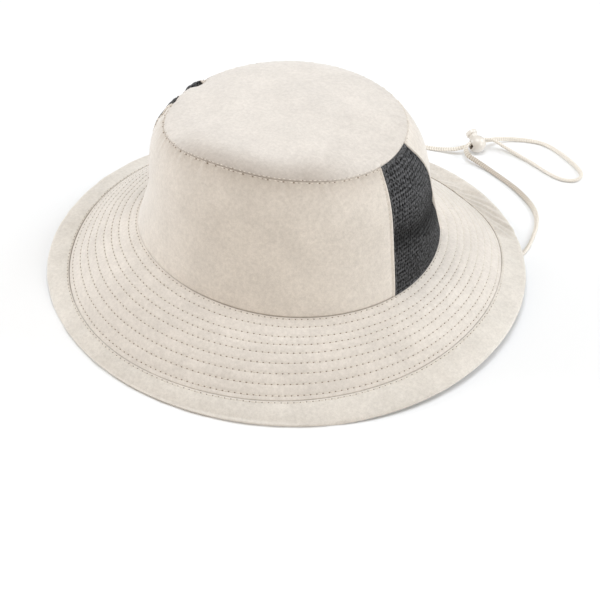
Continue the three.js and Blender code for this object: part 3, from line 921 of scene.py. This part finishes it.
def make_wall_panel(name, start, end):
    """A crown panel, rolled over at its seams and top-stitched beside the mesh."""
    grid, share, to_side = panel_grid(start, end)
    to_tip = (1 - share) * WALL_HEIGHT
    to_base = share * WALL_HEIGHT
    hem = 0.5 * window(to_side, 0.5, 1.3, 0.5) - 0.2 * hump(to_side, 2.2, 0.5)
    rolled = turned_edge(to_side, 0.8) + turned_edge(to_tip, 0.6) + turned_edge(to_base, 0.1)
    outer = lifted(wall_face, grid, share, wall_relief(grid, share) + hem - rolled)
    inner = lifted(wall_face, grid, share, -CROWN_CLOTH)
    inner[:, 0] = stand(grid[:, 0], *corner_at_base(grid[:, 0]))
    inner[:, -1] = stand(grid[:, -1], *corner_at_tip(grid[:, -1]))
    # Painted shade under the tip seam at the front, along the tip seam, and in the crease of the base
    # seam.
    under_tip = 0.35 * window(from_front(grid), -50, 70, 30) * np.exp(-to_tip / 10)
    shade = 0.1 * hump(to_tip, 0, 0.5) + under_tip + 0.6 * base_crease(grid) * hump(to_base, 0, 0.5)
    return cloth_piece(name, "panel", draw_back(outer, 0, 1), draw_back(inner, 0, 1), shade)


# Mesh panels


def mesh_middle(share):
    """The angle of the left mesh panel's middle line, and the wall's radius there."""
    middle = (edge_at(MESH_FRONT, share) + edge_at(MESH_BACK, share)) / 2
    return middle, wall_face(middle, share)[0]


def mesh_angle(side, x, share):
    """The angle of a point x millimetres off the middle line of a mesh panel."""
    middle, radius = mesh_middle(share)
    angle = middle + np.degrees(x / radius)
    return angle if side == "left" else 360 - angle


def mesh_half_width(share, trim):
    _, radius = mesh_middle(share)
    return np.radians(edge_at(MESH_BACK, share) - edge_at(MESH_FRONT, share)) * radius / 2 - trim


def on_mesh(side, x, share, lift):
    """Points on a mesh panel's relief, lifted off it, and their angles."""
    degrees = mesh_angle(side, x, share)
    return lifted(wall_face, degrees, share, mesh_relief(degrees, share) + lift), degrees


def make_mesh_net(side, sizes):
    """Knitted air mesh: oval holes in staggered rows, with rounded yarn between them."""
    row_count = round(WALL_HEIGHT / (sizes.mesh_row_height / MM))
    cell = np.array([sizes.mesh_cell_width / MM, WALL_HEIGHT / row_count])
    hole = np.array([sizes.mesh_hole_width, sizes.mesh_hole_height]) / MM / 2
    oval = np.stack([np.cos(HOLE_BEARINGS), np.sin(HOLE_BEARINGS)], -1) * hole
    rings = [(oval * (wide, high) @ HOLE_SLANT, height) for wide, high, height in YARN_RINGS]
    reach = int(NET_REACH / cell[0]) + 2
    ids, borders, faces, points = {}, {}, [], []

    def border_point(x, y, height):
        half = mesh_half_width(np.clip(y / WALL_HEIGHT, 0, 1), NET_TRIM)
        key = (round(float(np.clip(x, -half, half)), 3), round(float(y), 3), height)
        if key not in ids:
            ids[key] = len(points)
            points.append(key)
        return ids[key]

    for row, column in ((r, c) for r in range(row_count) for c in range(-reach, reach)):
        middle = np.array([column + row % 2 / 2, row + 0.5]) * cell
        corners = CELL_CORNERS * cell + middle
        half = mesh_half_width(np.clip(corners[:, 1] / WALL_HEIGHT, 0, 1), NET_TRIM)
        if (np.abs(corners[:, 0]) >= half).all() and abs(middle[0]) > half.mean():
            continue
        top = [border_point(x, y, YARN_TOP) for x, y in corners]
        under = [border_point(x, y, YARN_FOOT) for x, y in corners]
        if (np.abs(rings[0][0][:, 0] + middle[0]) < half.min() - NET_CLOSED_EDGE).all():
            loops = [top]
            for outline, height in rings:
                loops.append(list(range(len(points), len(points) + len(outline))))
                points.extend((x, y, height) for x, y in outline + middle)
            for upper, lower in zip(loops, [*loops[1:], under]):
                faces += zip(upper, upper[1:] + upper[:1], lower[1:] + lower[:1], lower)
        else:
            faces += [tuple(top), tuple(reversed(under))]
        for pair in zip(top, top[1:] + top[:1], under, under[1:] + under[:1]):
            borders.setdefault(tuple(sorted(pair[:2])), []).append(pair)
    faces += [(b, a, under_a, under_b) for pairs in borders.values() if len(pairs) == 1
              for a, b, under_a, under_b in pairs if a != b]
    faces = [tuple(v for i, v in enumerate(face) if v != face[i - 1]) for face in faces]
    faces = [face for face in faces if len(face) == len(set(face)) >= 3]
    flat = np.array(points)
    share = np.clip(flat[:, 1] / WALL_HEIGHT, 0.003, 0.997)
    placed, degrees = on_mesh(side, flat[:, 0], share, flat[:, 2] - MESH_SUNK)
    # Painted shade along the slanted crease across the mesh, and over the mesh below it.
    above = above_crease(degrees, share)
    fade = 10.5 + 0.45 * np.clip(np.abs(from_front(degrees)) - 94, 0, 18)
    shade = np.maximum(0.92 * hump(above, 0, fade), 0.32 * np.clip(-above / 10, 0, 1))
    return mesh_object(f"mesh_net_{side}", placed, faces, shade)


def make_mesh_backing(side):
    """The fine dark layer behind the open net."""
    shares = np.linspace(0.004, 0.985, 40)
    x = np.linspace(-1, 1, 36)[:, None] * mesh_half_width(shares, HEM_TRIM)
    share = np.broadcast_to(shares, x.shape)
    faces = [on_mesh(side, x, share, lift)[0] for lift in (-0.85, -MESH_CLOTH)]
    return cloth_piece(f"mesh_backing_{side}", "panel", *faces)


def hem_loops(side, x, shares, lift, aside, upward, width):
    """The rounded section of one bound edge along a line on a mesh panel. Its width lies aside of
    the line or up from it."""
    centres, degrees = on_mesh(side, x, shares, lift)
    relief = mesh_relief(degrees, shares) + lift
    out = lifted(wall_face, degrees, shares, relief + 1) - centres
    beside = lifted(wall_face, mesh_angle(side, x + aside, shares), shares + upward, relief)
    across = unit(beside - centres)
    return np.stack([centres + across * (s * width) + out * (h * HEM_HEIGHT)
                     for s, h in HEM_SECTION], axis=1)


def make_mesh_hem(side):
    """The bound edges of a mesh panel: a wide hem under the tip seam, narrow ones elsewhere."""
    level, rising = np.linspace(-1, 1, 50), np.linspace(0.01, 0.985, 70)
    strips = [hem_loops(side, level * mesh_half_width(share, HEM_TRIM), np.full_like(level, share),
                        -0.1, 0, 0.004, width)
              for share, width in ((TOP_HEM_SHARE, 2.2), (0.008, 1.2))]
    strips += [hem_loops(side, sign * (mesh_half_width(rising, HEM_TRIM) - 0.45), rising,
                         -0.15, 0.3, 0, 0.9) for sign in (-1, 1)]
    points, faces = [], []
    for loops in strips:
        start = len(points)
        faces += [tuple(start + v for v in face) for face in bar_faces(*loops.shape[:2])]
        points += loops.reshape(-1, 3).tolist()
    return mesh_object(f"mesh_hem_{side}", points, faces)


# Brim


def brim_shares():
    """Rows over the brim, crowded at each row of stitches."""
    rows = list(BRIM_NEAR_SEAMS)
    for row in BRIM_STITCH_ROWS[1:]:
        rows += list(row + BRIM_NEAR_ROW / BRIM_WIDTH)
    rows += [(a + b) / 2 for a, b in zip(BRIM_STITCH_ROWS[1:], BRIM_STITCH_ROWS[2:])]
    return np.array(sorted(row for row in set(np.round(rows, 5)) if 0 <= row <= 1))


def band_crease(degrees):
    """How much painted shade darkens the crease of the band's seam: most where the band folds up behind
    it.
    """
    return 0.15 + 0.8 * window(degrees, 225, 300, 35) + 0.7 * window(degrees, 118, 165, 14)


def painted_front_shade(degrees):
    """Painted shade that darkens the brim and the band in front."""
    return 0.1 * window(from_front(degrees), -18, 60, 28)


def make_brim():
    degrees = np.arange(0, 360, BRIM_STATION)
    grid, share = np.meshgrid(degrees, brim_shares(), indexing="ij")
    out, to_band = share * BRIM_WIDTH, (1 - share) * BRIM_WIDTH
    lift = brim_relief(grid, share) - turned_edge(out, 0.1) - turned_edge(to_band, 0.25)
    outer = lifted(brim_face, grid, share, lift, rests=True)
    inner = lifted(brim_face, *np.meshgrid(degrees, np.linspace(0.05, 0.95, 15), indexing="ij"),
                   -BRIM_CLOTH, rests=True)
    start, end = (stand(degrees, *corner)[:, None]
                  for corner in (corner_at_base(degrees), corner_at_band(degrees)))
    inner = np.concatenate([start, inner, end], axis=1)
    inner[..., 2] = np.maximum(inner[..., 2], 0)
    # Painted shade in the creases of the band seam and the base seam, and over the front.
    shade = (band_crease(grid) * hump(to_band, 0, 0.32) + painted_front_shade(grid)
             + 0.42 * base_crease(grid) * hump(out, 0, 0.4))
    return cloth_piece("brim_cloth", "ring", draw_back(outer, 0, 1), draw_back(inner, 0, 1), shade)


def make_band():
    degrees = np.arange(0, 360, BRIM_STATION)
    grid, share = np.meshgrid(degrees, BAND_SHARES, indexing="ij")
    to_rim, from_seam = (1 - share) * BAND_WIDTH, share * BAND_WIDTH
    relief = band_relief(grid, share)
    lift = relief - turned_edge(from_seam, 0.25) - turned_edge(to_rim, 1.65)
    outer = lifted(band_face, grid, share, lift, rests=True)
    back_lift = 0.8 * relief - BRIM_CLOTH + turned_edge(to_rim, 0.25)
    inner = lifted(band_face, grid, share, back_lift, rests=True)
    inner[:, 0] = stand(degrees, *corner_at_band(degrees))
    inner[..., 2] = np.maximum(inner[..., 2], 0)
    # Painted shade where the band turns up away from the light at its left rear and a little at its
    # right, fading towards the rim; also over the front and in the crease of its seam.
    painted_turned_up_shade = 0.2 * window(grid + 3 * share, 131, 180, 2.5) + 0.08 * window(grid, 268, 286, 10)
    shade = (painted_turned_up_shade * (1 - 0.8 * share**1.5) + painted_front_shade(grid)
             + band_crease(grid) * hump(from_seam, 0, 0.32))
    return cloth_piece("band_cloth", "ring", draw_back(outer, 0), draw_back(inner, 0), shade)


# Chin cord and its lock


def lock_directions():
    """Along the cord, along the button and across the lock."""
    heading = Vector((math.cos(LOCK_HEADING), math.sin(LOCK_HEADING), 0))
    level = Vector((-math.sin(LOCK_HEADING), math.cos(LOCK_HEADING), 0))
    button = level * math.cos(LOCK_RISE) + Vector((0, 0, math.sin(LOCK_RISE)))
    return heading, button, heading.cross(button)


def lock_point(along, up, across):
    heading, button, side = lock_directions()
    return LOCK_CENTRE + heading * along + button * up + side * across


def cord_points():
    """The route's points with their turns, the two strands through the lock among them."""
    points = []
    for stop in CORD_ROUTE:
        if isinstance(stop, tuple):
            points.append(stop)
            continue
        sign = 1 if stop == "upper strand" else -1
        points += [(*lock_point(sign * along, STRAND_UP, sign * STRAND_APART), STRAND_TURN)
                   for along in STRAND_STOPS]
    return np.array(points, float)


def blend(first, second, t, start, end):
    """A mix of two points, all of the first where t is start and all of the second at end."""
    return (first * (end - t) + second * (t - start)) / (end - start)


def smooth_route(points, step):
    """A centripetal Catmull-Rom curve through the points, with a point each step millimetres."""
    line = np.vstack([2 * points[0] - points[1], points, 2 * points[-1] - points[-2]])
    pieces = []
    for a, b, c, d in zip(line, line[1:], line[2:], line[3:]):
        gaps = [math.sqrt(math.dist(p[:3], q[:3])) for p, q in ((a, b), (b, c), (c, d))]
        k0, k1, k2, k3 = np.cumsum([0, *gaps])
        t = np.linspace(k1, k2, ROUTE_STEPS, endpoint=False)[:, None]
        ab, bc, cd = blend(a, b, t, k0, k1), blend(b, c, t, k1, k2), blend(c, d, t, k2, k3)
        pieces.append(blend(blend(ab, bc, t, k0, k2), blend(bc, cd, t, k1, k3), t, k1, k2))
    dense = np.vstack([*pieces, points[-1:]])
    run = run_along(dense[:, :3])
    even = np.linspace(0, run[-1], round(run[-1] / step) + 1)
    return np.stack([np.interp(even, run, column) for column in dense.T], -1), even


def make_chin_cord(sizes):
    """A flat braided cord, turned about its length as the route says, with raised braid ribs."""
    route, run = smooth_route(cord_points(), sizes.cord_ring_step / MM)
    centre, turn = route[:, :3], np.radians(route[:, 3:])
    way = unit(np.gradient(centre, axis=0))
    steep = np.clip((np.abs(way[:, 2:]) - 0.7) / 0.25, 0, 1)
    upwards = np.array([0, 0, 1.0]) * (1 - steep) + unit(centre * (1, 1, 0)) * steep
    side = unit(np.cross(way, upwards))
    wide = side * np.cos(turn) + np.cross(side, way) * np.sin(turn)
    thick = np.cross(wide, way)
    from_lock = np.linalg.norm(centre - np.array(LOCK_CENTRE), axis=1)
    in_lock = eased(np.clip(1.6 - from_lock / 8, 0, 1))
    on_edge = window(run, 122, 232, 14) * window(from_lock, 0, 60, 40)
    half_wide = sizes.cord_width / MM / 2 * (0.9 + 0.3 * on_edge) * (1 - 0.3 * in_lock)
    half_thick = sizes.cord_thickness / MM / 2 * (1 + 0.12 * in_lock)
    round_cord = circle(CORD_SIDES)
    x, y = (np.sign(round_cord) * np.abs(round_cord) ** 0.8).T
    phase = run[:, None] / (sizes.braid_pitch / MM) + np.where(y >= 0, 1, -1) * 0.25
    ribs = np.abs(np.cos(np.pi * (phase + np.abs(x) * 0.3))) ** 0.7 - 0.5
    plait = 1 - 0.25 * hump(x, 0, 0.16)
    ring = (wide[:, None] * (half_wide[:, None] * x * (1 + 0.1 * ribs))[..., None]
            + thick[:, None] * (half_thick[:, None] * y * (1 + 0.4 * ribs) * plait)[..., None])
    lowest = (centre[:, None] + ring)[..., 2].min(axis=1)
    centre = centre + np.outer(np.maximum(FLOOR_CLEARANCE - lowest, 0), (0, 0, 1))
    points = (centre[:, None] + ring).reshape(-1, 3)
    # Painted shade on the cord inside the lock, along the stretch that stands on edge, and in the
    # valleys between the braid's ribs.
    hidden = 0.85 * np.clip(5.6 - from_lock, 0, 1)
    shade = (0.42 * on_edge + hidden)[:, None] + 0.8 * np.clip(0.25 - ribs, 0, 0.75)
    faces = bar_faces(len(centre), CORD_SIDES)
    cord = mesh_object("chin_cord_braid", points, faces, np.minimum(shade, 1))
    return cord, centre * MM, run[-1] * MM


def lathe(name, profile, segments):
    """A solid turned about the button's axis from a profile of radius and height."""
    points = [lock_point(radius * x, height, radius * y)
              for x, y in circle(segments) for radius, height in profile]
    return mesh_object(name, points, grid_faces(segments, len(profile), round_rows=False))


def arc(centre, radius, start, end, steps):
    """Points of an arc in a profile, between two bearings in degrees."""
    bearings = np.radians(np.linspace(start, end, steps))
    return [(centre[0] + radius * math.cos(b), centre[1] + radius * math.sin(b)) for b in bearings]


def slot_cutter(foot, top):
    """A rounded bar along the cord, which cuts the cord's way through the lock."""
    aside, low, high = SLOT_HALF_WIDTH - SLOT_CORNER, foot + SLOT_CORNER, top - SLOT_CORNER
    section = []
    for middle, start in (((aside, high), 0), ((-aside, high), 90),
                          ((-aside, low), 180), ((aside, low), 270)):
        section += arc(middle, SLOT_CORNER, start, start + 90, 8)
    points = [lock_point(along, y, x) for along in (-SLOT_REACH, SLOT_REACH) for x, y in section]
    return mesh_object("slot_cutter", points, bar_faces(2, len(section)))


def cut_slot(piece, foot, top, soften):
    """Cuts the slot, rounds its edges over and keeps the result as the piece's own mesh."""
    cutter = slot_cutter(foot, top)
    cut = piece.modifiers.new("slot", "BOOLEAN")
    cut.operation = "DIFFERENCE"
    cut.solver = "EXACT"
    cut.object = cutter
    rounded = piece.modifiers.new("edges", "BEVEL")
    rounded.limit_method = "ANGLE"
    rounded.angle_limit = math.radians(38)
    rounded.width = soften * MM
    rounded.segments = 3
    mesh = bpy.data.meshes.new_from_object(piece.evaluated_get(bpy.context.evaluated_depsgraph_get()))
    piece.modifiers.clear()
    bpy.data.objects.remove(cutter)
    piece.data = mesh
    mesh.shade_smooth()


def shade_mouth(piece):
    """Shades the slot inside, and the plastic about the mouth that faces back along the cord."""
    mesh = piece.data
    places = np.empty(3 * len(mesh.vertices), np.float32)
    mesh.vertices.foreach_get("co", places)
    frame = np.array([list(direction) for direction in lock_directions()])
    along, up, across = frame @ (places.reshape(-1, 3) / MM - np.array(LOCK_CENTRE)).T
    mouth_along, mouth_up = SLOT_MOUTH
    inside = (np.abs(across) < SLOT_HALF_WIDTH + 0.05) & (np.abs(up - mouth_up) < 2.6)
    inside &= np.sqrt(along**2 + up**2 + across**2) < BALL_RADIUS - 0.45
    from_mouth = np.sqrt((along - mouth_along) ** 2 + (up - mouth_up) ** 2 + across**2)
    add_values(mesh, "shade", np.maximum(0.42 * hump(from_mouth, 0, 4.4), inside))


def make_lock():
    """The ball with its bore and cord slot, and the button with its stem, slot and head."""
    mouth = math.sqrt(BALL_RADIUS**2 - BALL_RIM_RADIUS**2)
    lip, foot, top = BALL_LIP, HEAD_FOOT_ROUND, HEAD_TOP_ROUND
    ball_profile = [(0, BORE_FLOOR), (BORE_RADIUS, BORE_FLOOR), (BORE_RADIUS, mouth - lip)]
    ball_profile += arc((BORE_RADIUS + lip, mouth - lip), lip, 180, 90, 4)
    ball_profile += arc((0, 0), BALL_RADIUS, math.degrees(math.asin(mouth / BALL_RADIUS)), -90, 36)
    ball_profile[-1] = (0, -BALL_RADIUS)
    ball = lathe("lock_ball", ball_profile, 96)
    cut_slot(ball, SLOT_FOOT, SLOT_TOP, 0.45)
    shade_mouth(ball)
    button_profile = [(0, STEM_FOOT), (STEM_RADIUS - 0.3, STEM_FOOT), (STEM_RADIUS, STEM_FOOT + 0.3),
                      (STEM_RADIUS, HEAD_START - 0.2), (STEM_RADIUS + 0.2, HEAD_START),
                      (HEAD_RADIUS - foot, HEAD_START)]
    button_profile += arc((HEAD_RADIUS - foot, HEAD_START + foot), foot, -90, 0, 4)
    button_profile += arc((HEAD_RADIUS - top, HEAD_TOP - top), top, 0, 90, 7)
    button_profile += [(2.2, HEAD_TOP + 0.12), (1.0, HEAD_TOP + 0.2), (0, HEAD_TOP + 0.22)]
    button = lathe("lock_button_head", button_profile, 72)
    cut_slot(button, 0.0, SLOT_TOP + PRESS_TRAVEL, 0.2)
    return ball, button


# Sewing


def smoother_rear(degrees):
    """How much smaller the needle holes are where the brim's left rear is pulled smooth."""
    return 0.55 * window(degrees, 116, 172, 24)


def tip_seam_rows():
    """The row under the tip's edge, along the crown's cloth panels between the mesh panels."""
    front, back = MESH_FRONT["tip"], MESH_BACK["tip"]
    return [round_row(wall_face, 1 - 0.75 / WALL_HEIGHT, lambda d, s: wall_relief(d, s) - 0.16,
                      start + 1.5, end - 1.5) for start, end in ((-front, front), (back, 360 - back))]


def side_seam_rows():
    """Top-stitching on the crown's cloth beside each edge of the mesh panels."""
    rows = []
    shares = np.linspace(0.02, 0.975, 120)
    for edge, sign in ((MESH_FRONT, -1), (MESH_BACK, 1)):
        line = edge_at(edge, shares)
        line = line + sign * np.degrees(2.2 / wall_face(line, shares)[0])
        rows += [sewing_row(wall_face, degrees, shares, wall_relief(degrees, shares) - 0.22)
                 for degrees in (line, 360 - line)]
    return rows


def mesh_hem_rows():
    rows = []
    for side in ("left", "right"):
        x = np.linspace(-1, 1, 60) * (mesh_half_width(TOP_HEM_SHARE, HEM_TRIM) - 1)
        shares = np.full_like(x, TOP_HEM_SHARE)
        degrees = mesh_angle(side, x, shares)
        rows.append(sewing_row(wall_face, degrees, shares, mesh_relief(degrees, shares) + 0.15))
    return rows


def underside_rows():
    rows = []
    for share in BRIM_STITCH_ROWS[1:]:
        points, ups, closed = round_row(brim_face, share, lambda d, s: -BRIM_CLOTH)
        points[:, 2] = np.maximum(points[:, 2], 0.3)
        rows.append((points, -ups, closed))
    return rows


def sewing_runs(pitch, seam_pitch):
    """The runs of stitches with needle holes: their names, their rows, from one hole to the next,
    the size of the holes over the usual size, and their slots."""
    return (
        ("brim_stitches", [brim_row(share) for share in BRIM_STITCH_ROWS], pitch, 1, "brim_cloth"),
        ("band_stitches", [round_row(band_face, 0.08, band_relief, rests=True)],
         pitch, 0.9, "band_cloth"),
        ("tip_edge_stitches",
         [round_row(tip_face, 1 - 0.7 / TIP_RADIUS, lambda d, s: tip_relief(d, s) - 0.2)],
         seam_pitch, 0.7, "crown_cloth"),
        ("tip_seam_stitches", tip_seam_rows(), seam_pitch, 1.05, "crown_cloth"),
        ("side_seam_stitches", side_seam_rows(), seam_pitch, 0.55, "crown_cloth"),
    )


# Sizes, colours and materials that a user would change


def length(name, description, default):
    return FloatProperty(name=name, description=description, default=default * MM, min=0,
                         unit="LENGTH", subtype="DISTANCE", precision=5)


def colour(name, description, default):
    return FloatVectorProperty(name=name, description=description, default=default, size=3,
                               subtype="COLOR", min=0, max=1)


class SurfHatSizes(PropertyGroup):
    mesh_cell_width: length("Mesh cell width", "From one hole of the mesh to the next", 2.2)
    mesh_row_height: length("Mesh row height", "From one row of holes to the next", 2.8)
    mesh_hole_width: length("Mesh hole width", "Width of one hole of the mesh", 1.22)
    mesh_hole_height: length("Mesh hole height", "Height of one hole of the mesh", 1.75)
    stitch_pitch: length("Stitch pitch", "From one needle hole to the next", STITCH_PITCH)
    seam_pitch: length("Seam stitch pitch", "The same on the crown's seams", 2.9)
    thread: length("Thread", "Thickness of the sewing thread", 0.5)
    needle_hole: length("Needle hole", "Length of the pinch at each needle hole", 1.25)
    cord_width: length("Cord width", "Width of the flat chin cord", 3.2)
    cord_thickness: length("Cord thickness", "Thickness of the chin cord", 1.9)
    cord_ring_step: length("Cord detail", "Length of cord between two rings of its mesh", 0.36)
    braid_pitch: length("Braid pitch", "From one rib of the braid to the next", 1.8)


class SurfHatColours(PropertyGroup):
    crown: colour("Crown cloth", "Brushed cloth of the crown's sides", (0.793, 0.731, 0.66))
    # Painted light: the tip is a copy of the crown's cloth, toned cooler and darker for how the light
    # falls on the top.
    tip: colour("Tip cloth", "Brushed cloth of the crown's top", (0.758, 0.709, 0.659))
    brim: colour("Brim cloth", "Brushed cloth of the stitched brim", (0.8, 0.746, 0.686))
    band: colour("Band cloth", "Cloth of the brim's outer band", (0.804, 0.76, 0.7))
    mesh: colour("Mesh yarn", "Yarn of the side mesh", (0.06, 0.06, 0.0625))
    backing: colour("Mesh backing", "Layer behind the open mesh", (0.012, 0.012, 0.013))
    thread: colour("Sewing thread", "Thread of all the seams", (0.78, 0.72, 0.64))
    pinch: colour("Needle pinch", "Shaded pinch at each needle hole", (0.25, 0.195, 0.145))
    cord: colour("Chin cord", "Braided chin cord", (0.93, 0.875, 0.79))
    lock: colour("Cord lock", "Moulded ball and button", (0.8, 0.755, 0.695))


MATERIALS = {
    "crown": ("crown microfibre", microfibre),
    "tip": ("tip microfibre", microfibre),
    "brim": ("brim microfibre", microfibre),
    "band": ("band microfibre", microfibre),
    "mesh": ("mesh yarn", knit_yarn),
    "backing": ("mesh backing", knit_yarn),
    "thread": ("sewing thread", sewing_thread),
    "pinch": ("needle pinch", needle_pinch),
    "cord": ("cord braid", braid_fibre),
    "lock": ("pearl plastic", pearl_plastic),
}


def material_for(context, key):
    """The material in one of the colours above, made once and shared by its pieces."""
    name, kind = MATERIALS[key]
    shared = bpy.data.materials.get(name)
    return shared or kind(name, tuple(getattr(context.scene.surf_hat_colours, key)))


class SURFHAT_OT_stage(Operator):
    """Sets up the floor, the soft studio lights and the camera"""
    bl_idname = "surfhat.stage"
    bl_label = "Stage"

    def execute(self, context):
        scene = context.scene
        scene.view_settings.view_transform = "Standard"
        mesh = bpy.data.meshes.new("studio_floor")
        size = FLOOR_HALF_SIZE
        corners = [(-size, -size, 0), (size, -size, 0), (size, size, 0), (-size, size, 0)]
        mesh.from_pydata(corners, [], [(0, 1, 2, 3)])
        mesh.materials.append(studio_floor("studio floor", FLOOR_COLOUR))
        new_object("studio_floor", mesh)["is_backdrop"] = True
        add_camera(scene)
        for light in STUDIO_LIGHTS:
            add_light(*light)
        world = bpy.data.worlds.new("studio")
        world.use_nodes = True
        background = world.node_tree.nodes["Background"]
        background.inputs["Color"].default_value = WORLD_TINT
        background.inputs["Strength"].default_value = WORLD_STRENGTH
        scene.world = world
        return {"FINISHED"}


def add_camera(scene):
    camera = bpy.data.cameras.new("camera")
    camera.lens = CAMERA_LENS
    camera.sensor_width = CAMERA_SENSOR
    camera.clip_start = 0.01
    stand_in = new_object("camera", camera)
    stand_in.location = CAMERA_EYE
    stand_in.rotation_euler = CAMERA_AXIS.to_track_quat("-Z", "Y").to_euler()
    scene.camera = stand_in


def add_light(name, place, power, tint):
    light = bpy.data.lights.new(name, "AREA")
    light.shape = "DISK"
    light.size = LIGHT_SIZE
    light.energy = power
    light.color = tint
    lamp = new_object(name, light)
    lamp.location = place
    lamp.rotation_euler = (LIGHT_AIM - Vector(place)).to_track_quat("-Z", "Y").to_euler()


class SURFHAT_OT_cord_lock(Operator):
    """Makes the ball cord lock and its button"""
    bl_idname = "surfhat.cord_lock"
    bl_label = "Cord lock"

    def execute(self, context):
        ball, button = make_lock()
        plastic = material_for(context, "lock")
        finish_piece(ball, plastic, "lock_plastic", ["cord_lock_barrel"])
        finish_piece(button, plastic, "lock_plastic", ["cord_lock_button"], BUTTON_BODY)
        return {"FINISHED"}


class SURFHAT_OT_chin_cord(Operator):
    """Makes the flat braided chin cord along its route over the floor"""
    bl_idname = "surfhat.chin_cord"
    bl_label = "Chin cord"

    def execute(self, context):
        sizes = context.scene.surf_hat_sizes
        cord, path, run = make_chin_cord(sizes)
        finish_piece(cord, material_for(context, "cord"), "cord", ["chin_cord"])
        tuple(path[0])
        [tuple(point) for point in path]
        return {"FINISHED"}


class SURFHAT_OT_crown(Operator):
    """Makes the crown: its top panel and its front and back panels"""
    bl_idname = "surfhat.crown"
    bl_label = "Crown"

    def execute(self, context):
        tip = make_crown_tip()
        front = make_wall_panel("crown_front_cloth", mirrored(MESH_FRONT, 0), MESH_FRONT)
        back = make_wall_panel("crown_back_cloth", MESH_BACK, mirrored(MESH_BACK, 360))
        # The tip's copy of the crown's cloth is toned for how the light falls on the top: painted light.
        finish_piece(tip, material_for(context, "tip"), "crown_cloth", ["crown_tip"])
        cloth = material_for(context, "crown")
        finish_piece(front, cloth, "crown_cloth", ["crown_front_panel"])
        finish_piece(back, cloth, "crown_cloth", ["crown_back_panel"])
        return {"FINISHED"}


class SURFHAT_OT_mesh(Operator):
    """Makes the open mesh panels at both sides, with their backing and their bound edges"""
    bl_idname = "surfhat.mesh"
    bl_label = "Mesh panels"

    def execute(self, context):
        yarn, backing = material_for(context, "mesh"), material_for(context, "backing")
        for side in ("left", "right"):
            net = make_mesh_net(side, context.scene.surf_hat_sizes)
            finish_piece(net, yarn, "mesh_cloth", [f"mesh_panel_{side}"])
            finish_piece(make_mesh_backing(side), backing, "mesh_cloth")
            finish_piece(make_mesh_hem(side), yarn, "mesh_cloth")
        return {"FINISHED"}


class SURFHAT_OT_brim(Operator):
    """Makes the quilted brim"""
    bl_idname = "surfhat.brim"
    bl_label = "Brim"

    def execute(self, context):
        finish_piece(make_brim(), material_for(context, "brim"), "brim_cloth", ["brim"])
        return {"FINISHED"}


class SURFHAT_OT_band(Operator):
    """Makes the plain band round the brim's outer edge"""
    bl_idname = "surfhat.band"
    bl_label = "Outer band"

    def execute(self, context):
        finish_piece(make_band(), material_for(context, "band"), "band_cloth", ["brim_band"])
        return {"FINISHED"}


class SURFHAT_OT_sewing(Operator):
    """Sews the rows of the brim and the crown's seams"""
    bl_idname = "surfhat.sewing"
    bl_label = "Stitching"

    def execute(self, context):
        sizes = context.scene.surf_hat_sizes
        pitch, seam_pitch = sizes.stitch_pitch / MM, sizes.seam_pitch / MM
        thread, usual_hole = sizes.thread / MM, sizes.needle_hole / MM
        light, dark = material_for(context, "thread"), material_for(context, "pinch")
        for name, rows, step, share, slot in sewing_runs(pitch, seam_pitch):
            hole = share * usual_hole
            stitch = stitch_unit(step - 0.7 * hole, thread)
            ride_piece(repeat_along(name, path_mesh(rows), stitch, step, light), slot)
            name, guide = name.replace("stitches", "pinches"), path_mesh(rows, smoother_rear)
            pinch = needle_hole_unit(step / 2, hole)
            ride_piece(repeat_along(name, guide, pinch, step, dark), slot)
        hem = repeat_along("mesh_hem_stitches", path_mesh(mesh_hem_rows()),
                           stitch_unit(2.0, 0.4), 2.6, material_for(context, "mesh"))
        ride_piece(hem, "mesh_cloth")
        under = repeat_along("underside_stitches", path_mesh(underside_rows()),
                             stitch_unit(2.6, 0.5, 5, 4), pitch, light)
        ride_piece(under, "brim_cloth")
        return {"FINISHED"}


STEPS = (
    SURFHAT_OT_stage, SURFHAT_OT_cord_lock, SURFHAT_OT_chin_cord, SURFHAT_OT_crown,
    SURFHAT_OT_mesh, SURFHAT_OT_brim, SURFHAT_OT_band, SURFHAT_OT_sewing,
)


class SURFHAT_PT_pieces(Panel):
    """Lists the hat's pieces, sizes and colours"""
    bl_label = "Surf Hat"
    bl_space_type = "VIEW_3D"
    bl_region_type = "UI"
    bl_category = "Surf Hat"

    def draw(self, context):
        layout = self.layout
        for step in STEPS:
            layout.operator(step.bl_idname)
        for group in (context.scene.surf_hat_sizes, context.scene.surf_hat_colours):
            box = layout.box()
            for name in group.__annotations__:
                box.prop(group, name)


CLASSES = (SurfHatSizes, SurfHatColours, *STEPS, SURFHAT_PT_pieces)


def register():
    for kind in CLASSES:
        bpy.utils.register_class(kind)
    bpy.types.Scene.surf_hat_sizes = PointerProperty(type=SurfHatSizes)
    bpy.types.Scene.surf_hat_colours = PointerProperty(type=SurfHatColours)


def unregister():
    del bpy.types.Scene.surf_hat_colours
    del bpy.types.Scene.surf_hat_sizes
    for kind in reversed(CLASSES):
        bpy.utils.unregister_class(kind)


def main():
    register()
    for step in STEPS:
        area, name = step.bl_idname.split(".")
        getattr(getattr(bpy.ops, area), name)()
    bpy.context.view_layer.update()
    boxes = {"cad": cad_box, "visual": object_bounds()}
    plain = {name: [[float(v) for v in corner] for corner in box] for name, box in boxes.items()}


if __name__ == "__main__":
    main()
